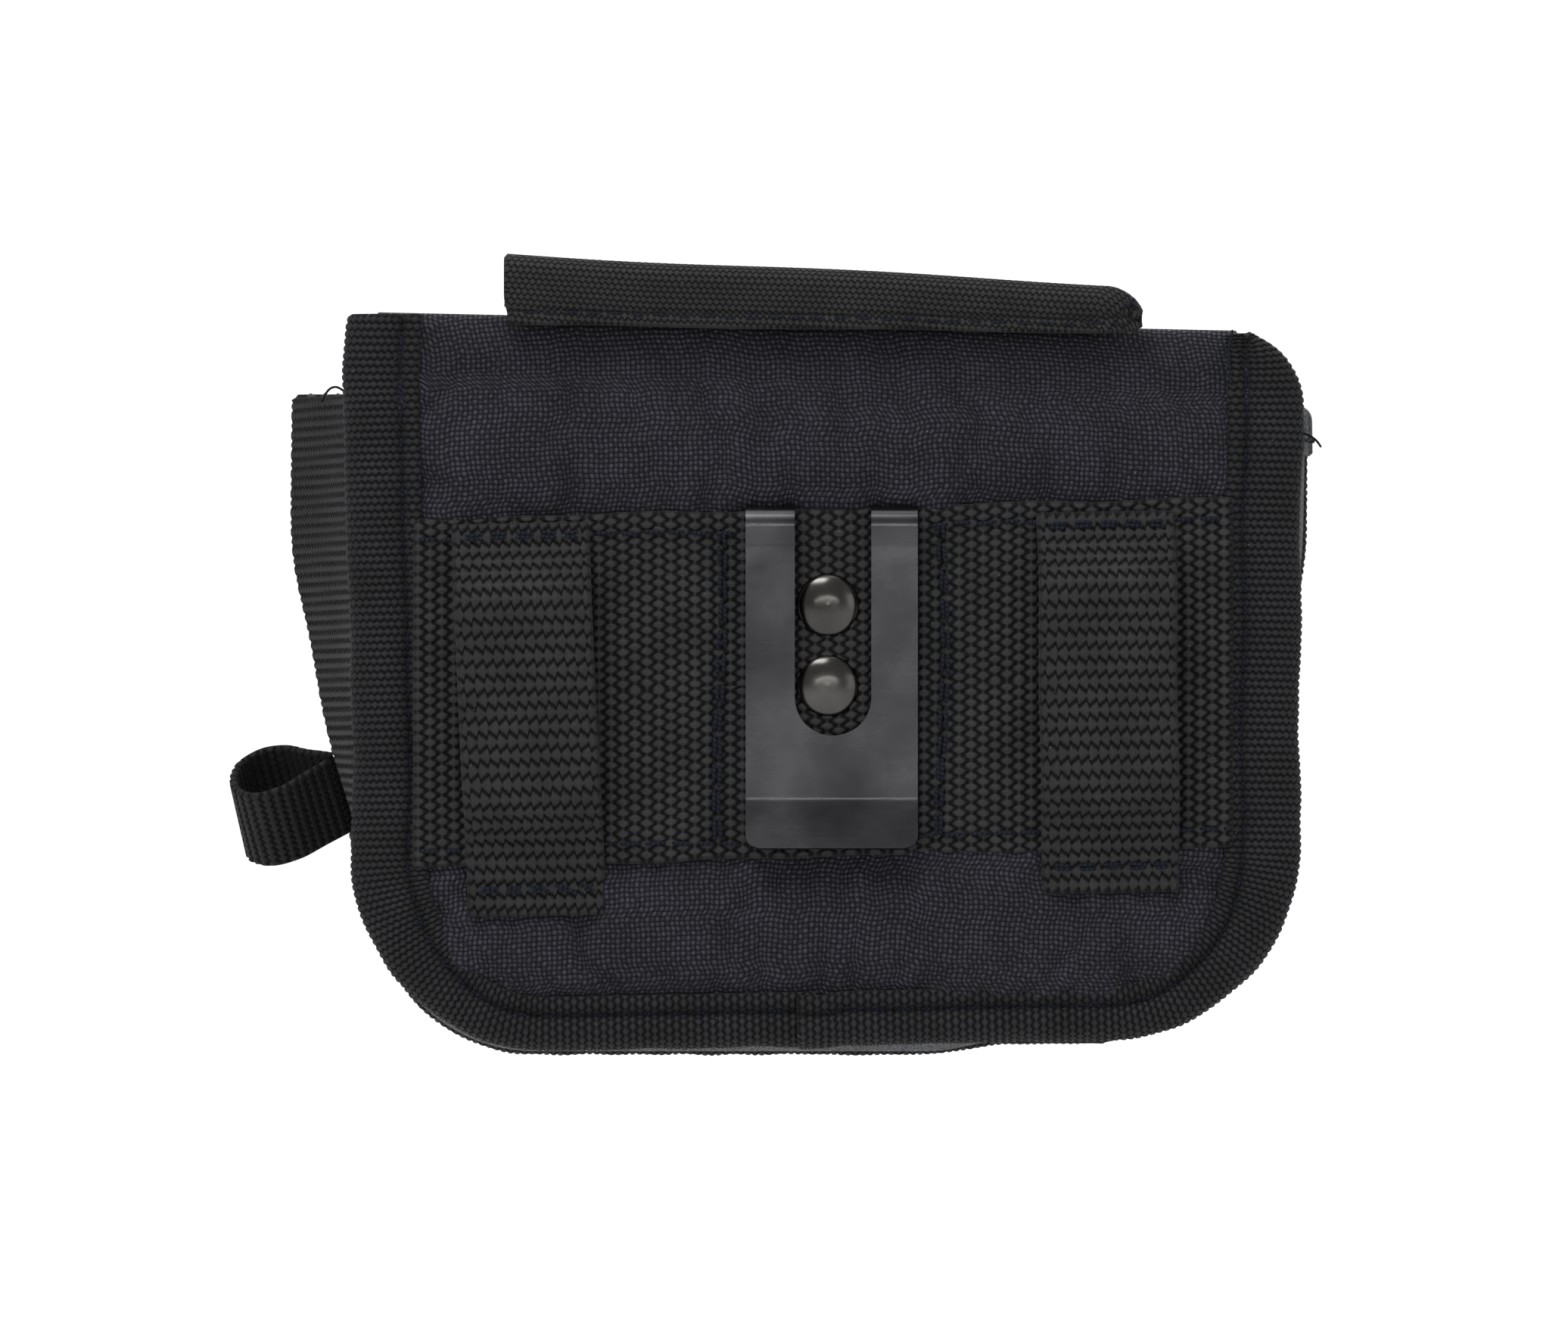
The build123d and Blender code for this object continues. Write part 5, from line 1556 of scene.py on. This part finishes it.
left_points, left_out = flap_edge(FLAP_EDGE[0], first_tape, MID_FLAP + 1)
right_points, right_out = flap_edge(FLAP_EDGE[1], first_tape, MID_FLAP + 1)
flap_tape("flap_tape_left", left_points, left_out, "flap_top_binding_left")
flap_tape("flap_tape_right", right_points[::-1], right_out[::-1], "flap_top_binding_right")
down_points, down_out = flap_edge(FLAP_EDGE[0], MID_FLAP, len(centre_run))
up_points, up_out = flap_edge(FLAP_EDGE[1], MID_FLAP, len(centre_run))
ring_points = np.vstack([down_points, up_points[::-1]])
ring_out = np.vstack([down_out, up_out[::-1]])
flap_tape("flap_tape_front", ring_points, ring_out, "flap_front_binding")
print("flap made, foot at", round(float(ring_points[:, 2].min()), 1))

# %% Hook-and-loop closure
for name, node, body, way in (("loop_patch", "loop_tape", "pouch", 1),
                              ("hook_patch", "hook_tape", "flap_front", -1)):
    low, high = span(node)
    gx, gz = np.meshgrid(np.linspace(low[0] + 0.3, high[0] - 0.3, 120),
                         np.linspace(low[2] + 0.8, high[2] - 0.8, 34))
    gy = (low[1] + high[1]) / 2 + 0 * gx
    rough = 0.12 * swell(gx, gz, 1.6, 131)
    dress(sheet(name, np.stack([gx, gy, gz], -1), 0.9, (0, way, 0), rough), "hook_and_loop", body, node)
print("closure made")

# %% [markdown]
# ## Tool loop
#
# A short loop of webbing hangs at the lower left, sewn into the side seam by its two tails. It is one
# strip bent into a teardrop, tipped towards the back so that its opening shows, and it swings at the seam.

# %% Tool loop
def turned_about(points, pitch, roll, place):
    """Points of the loop, rolled about depth, pitched about width and moved to the seam."""
    a, b = math.radians(pitch), math.radians(roll)
    roll_by = np.array([[math.cos(b), 0, math.sin(b)], [0, 1, 0], [-math.sin(b), 0, math.cos(b)]])
    pitch_by = np.array([[1, 0, 0], [0, math.cos(a), -math.sin(a)], [0, math.sin(a), math.cos(a)]])
    return points @ (pitch_by @ roll_by).T + place


loop_pivot = joint_place("tool_loop_swing")
teardrop = [(1.2, -0.8), (-2.5, -3.2), (-6, -5.6), (-10, -6.4), (-13.0, -3.9), (-13.7, 0.3), (-12.6, 4.2),
            (-9.3, 6.3), (-5.5, 5.5), (-2.5, 3.2), (1.6, 0.8)]
ring = curve(teardrop, 0.3)
rise = np.linspace(-6.2, 6.2, 40)
flare = 1 + 0.05 * np.cos(ring[:, :1] / 4)
loop_x = np.broadcast_to(ring[:, :1], (len(ring), 40)) * (1 - 0.03 * rise / 6)
loop_y = ring[:, 1:] * flare * (1 + 0.05 * rise / 6)
loop_z = np.broadcast_to(rise, loop_x.shape) + 0.25 * swell(ring[:, :1] * 1.0, rise * 0.0, 12, 141)
loop_middle = turned_about(np.stack([loop_x, loop_y, loop_z], -1), 30.0, -14.0, loop_pivot + (-0.5, 0, 0.8))
loop = webbing("tool_loop_web", loop_middle, 1.1, (-1, 0, 0), "side_webbing", 0.3, "tool_loop",
               "side_tool_loop")
print("tool loop:", len(loop.data.vertices), "points")

# %% [markdown]
# ## Loose threads
#
# Thread ends are left where seams stop. They are short single strands, too small to be called cords.

# %% Thread ends
thread_ends = {
    "thread_left_mouth": [(-74.2, 8.6, 41.6), (-73.2, 8.0, 43.4), (-72.0, 7.6, 43.9), (-70.6, 7.0, 43.2)],
    "thread_right_gusset": [(70.4, 8.0, 37.4), (72.2, 6.6, 36.8), (73.4, 5.8, 36.0), (74.2, 5.4, 34.9)],
    "thread_right_top": [(straight_edge + 0.6, 0.2, 52.3), (straight_edge + 0.1, 0.1, 48.5),
                         (straight_edge + 0.5, 0.3, 44.0)],
}
for name, line in thread_ends.items():
    dress(tubes(name, [curve(line, 0.2)], 0.18), "stitching", "pouch")

# %% [markdown]
# ## Floor, light and camera
#
# The pouch hangs well above a plain white floor that curves up into a far round wall, so every view has
# the same quiet background. Large soft lamps from above and in front give the dark cloth its highlights.
# The camera stands straight behind the pouch, far away with a long lens, so the sides hardly taper.

# %% Floor and round wall
def floor_finish():
    material = bpy.data.materials.new("white_floor")
    material.use_nodes = True
    tree = material.node_tree
    shader = tree.nodes["Principled BSDF"]
    where = tree.nodes.new("ShaderNodeTexCoord").outputs["Object"]
    cloudy = add_node(tree, "ShaderNodeTexNoise", Vector=where, Scale=4.0, Detail=3.0)
    tone = blend_colour(tree, cloudy.outputs["Fac"], (0.93, 0.93, 0.93), (0.95, 0.95, 0.95))
    connect(tree, shader.inputs["Base Color"], tone)
    seen = tree.nodes.new("ShaderNodeLightPath").outputs["Is Camera Ray"]
    shader.inputs["Emission Color"].default_value = (1, 1, 1, 1)
    connect(tree, shader.inputs["Emission Strength"], add_math(tree, "MULTIPLY", seen, 0.6))
    shader.inputs["Roughness"].default_value = 0.9
    shader.inputs["Specular IOR Level"].default_value = 0.1
    return material


FLOOR_GAP = 60.0
floor_z = cad_box[0].z / MM - FLOOR_GAP
rings = []
for radius, rise in ((1, 0), (900, 0), (2600, 0), (4200, 60), (5600, 500), (6600, 1500), (7200, 3200)):
    turns = np.linspace(0, 2 * math.pi, 96, endpoint=False)
    rings.append(np.stack([radius * np.cos(turns), radius * np.sin(turns), np.full(96, floor_z + rise)], 1))
index = np.arange(len(rings) * 96).reshape(len(rings), 96)
floor = build("studio_floor", np.vstack(rings), ring_faces(index)[:, ::-1], np.zeros((index.size, 2)))
floor.data.materials.append(floor_finish())
print("floor at", round(floor_z, 1), "mm")

# %% Lamps and sky
def soft_lamp(name, place, target, width, height, power):
    """Rectangular lamp that looks at a target, all in metres."""
    data = bpy.data.lights.new(name, "AREA")
    data.shape = "RECTANGLE"
    data.size, data.size_y, data.energy = width, height, power
    lamp = add_object(name, data)
    lamp.location = place
    lamp.rotation_euler = (Vector(target) - Vector(place)).to_track_quat("-Z", "Y").to_euler()


soft_lamp("lamp_above_camera", (-0.45, -0.75, 1.4), (0, 0, 0), 0.8, 0.5, 18)
soft_lamp("lamp_strip_low", (-0.1, -1.7, 0.25), (0, 0, 0), 1.1, 0.07, 4.0)
soft_lamp("lamp_overhead", (0.1, 0.15, 1.5), (0, 0, 0), 1.0, 1.0, 7)
soft_lamp("lamp_fill_right", (1.3, -1.1, 0.25), (0, 0, 0), 0.8, 0.8, 3)
soft_lamp("lamp_front_side", (0.3, 1.4, 0.7), (0, 0, 0), 0.9, 0.6, 5)
world = bpy.data.worlds.new("studio_sky")
world.use_nodes = True
world.node_tree.nodes["Background"].inputs["Color"].default_value = (1, 1, 1, 1)
world.node_tree.nodes["Background"].inputs["Strength"].default_value = 0.5
bpy.context.scene.world = world
bpy.context.scene.view_settings.view_transform = "Standard"

# %% Camera
LENS = 400.0
SENSOR = 36.0
VIEW_WIDTH = 232.1
VIEW_CENTRE = (-5.5, 0.0, 1.6)
camera_data = bpy.data.cameras.new("bench_camera")
camera_data.lens = LENS
camera_data.sensor_width = SENSOR
camera_data.clip_end = 50.0
camera = add_object("bench_camera", camera_data)
camera_distance = VIEW_WIDTH * LENS / SENSOR
camera.location = Vector(VIEW_CENTRE) * MM - Vector((0, camera_distance * MM, 0))
camera.rotation_euler = (math.radians(90), 0, 0)
bpy.context.scene.camera = camera
print("camera", round(camera_distance), "mm away")

# %% [markdown]
# ## Finish
#
# The box of the CAD solids is printed at the end. Cloth may stand a little proud of its solid, and
# nothing may change size.

# %% Print the CAD box
print("CAD box", [[round(v / MM, 1) for v in c] for c in cad_box])
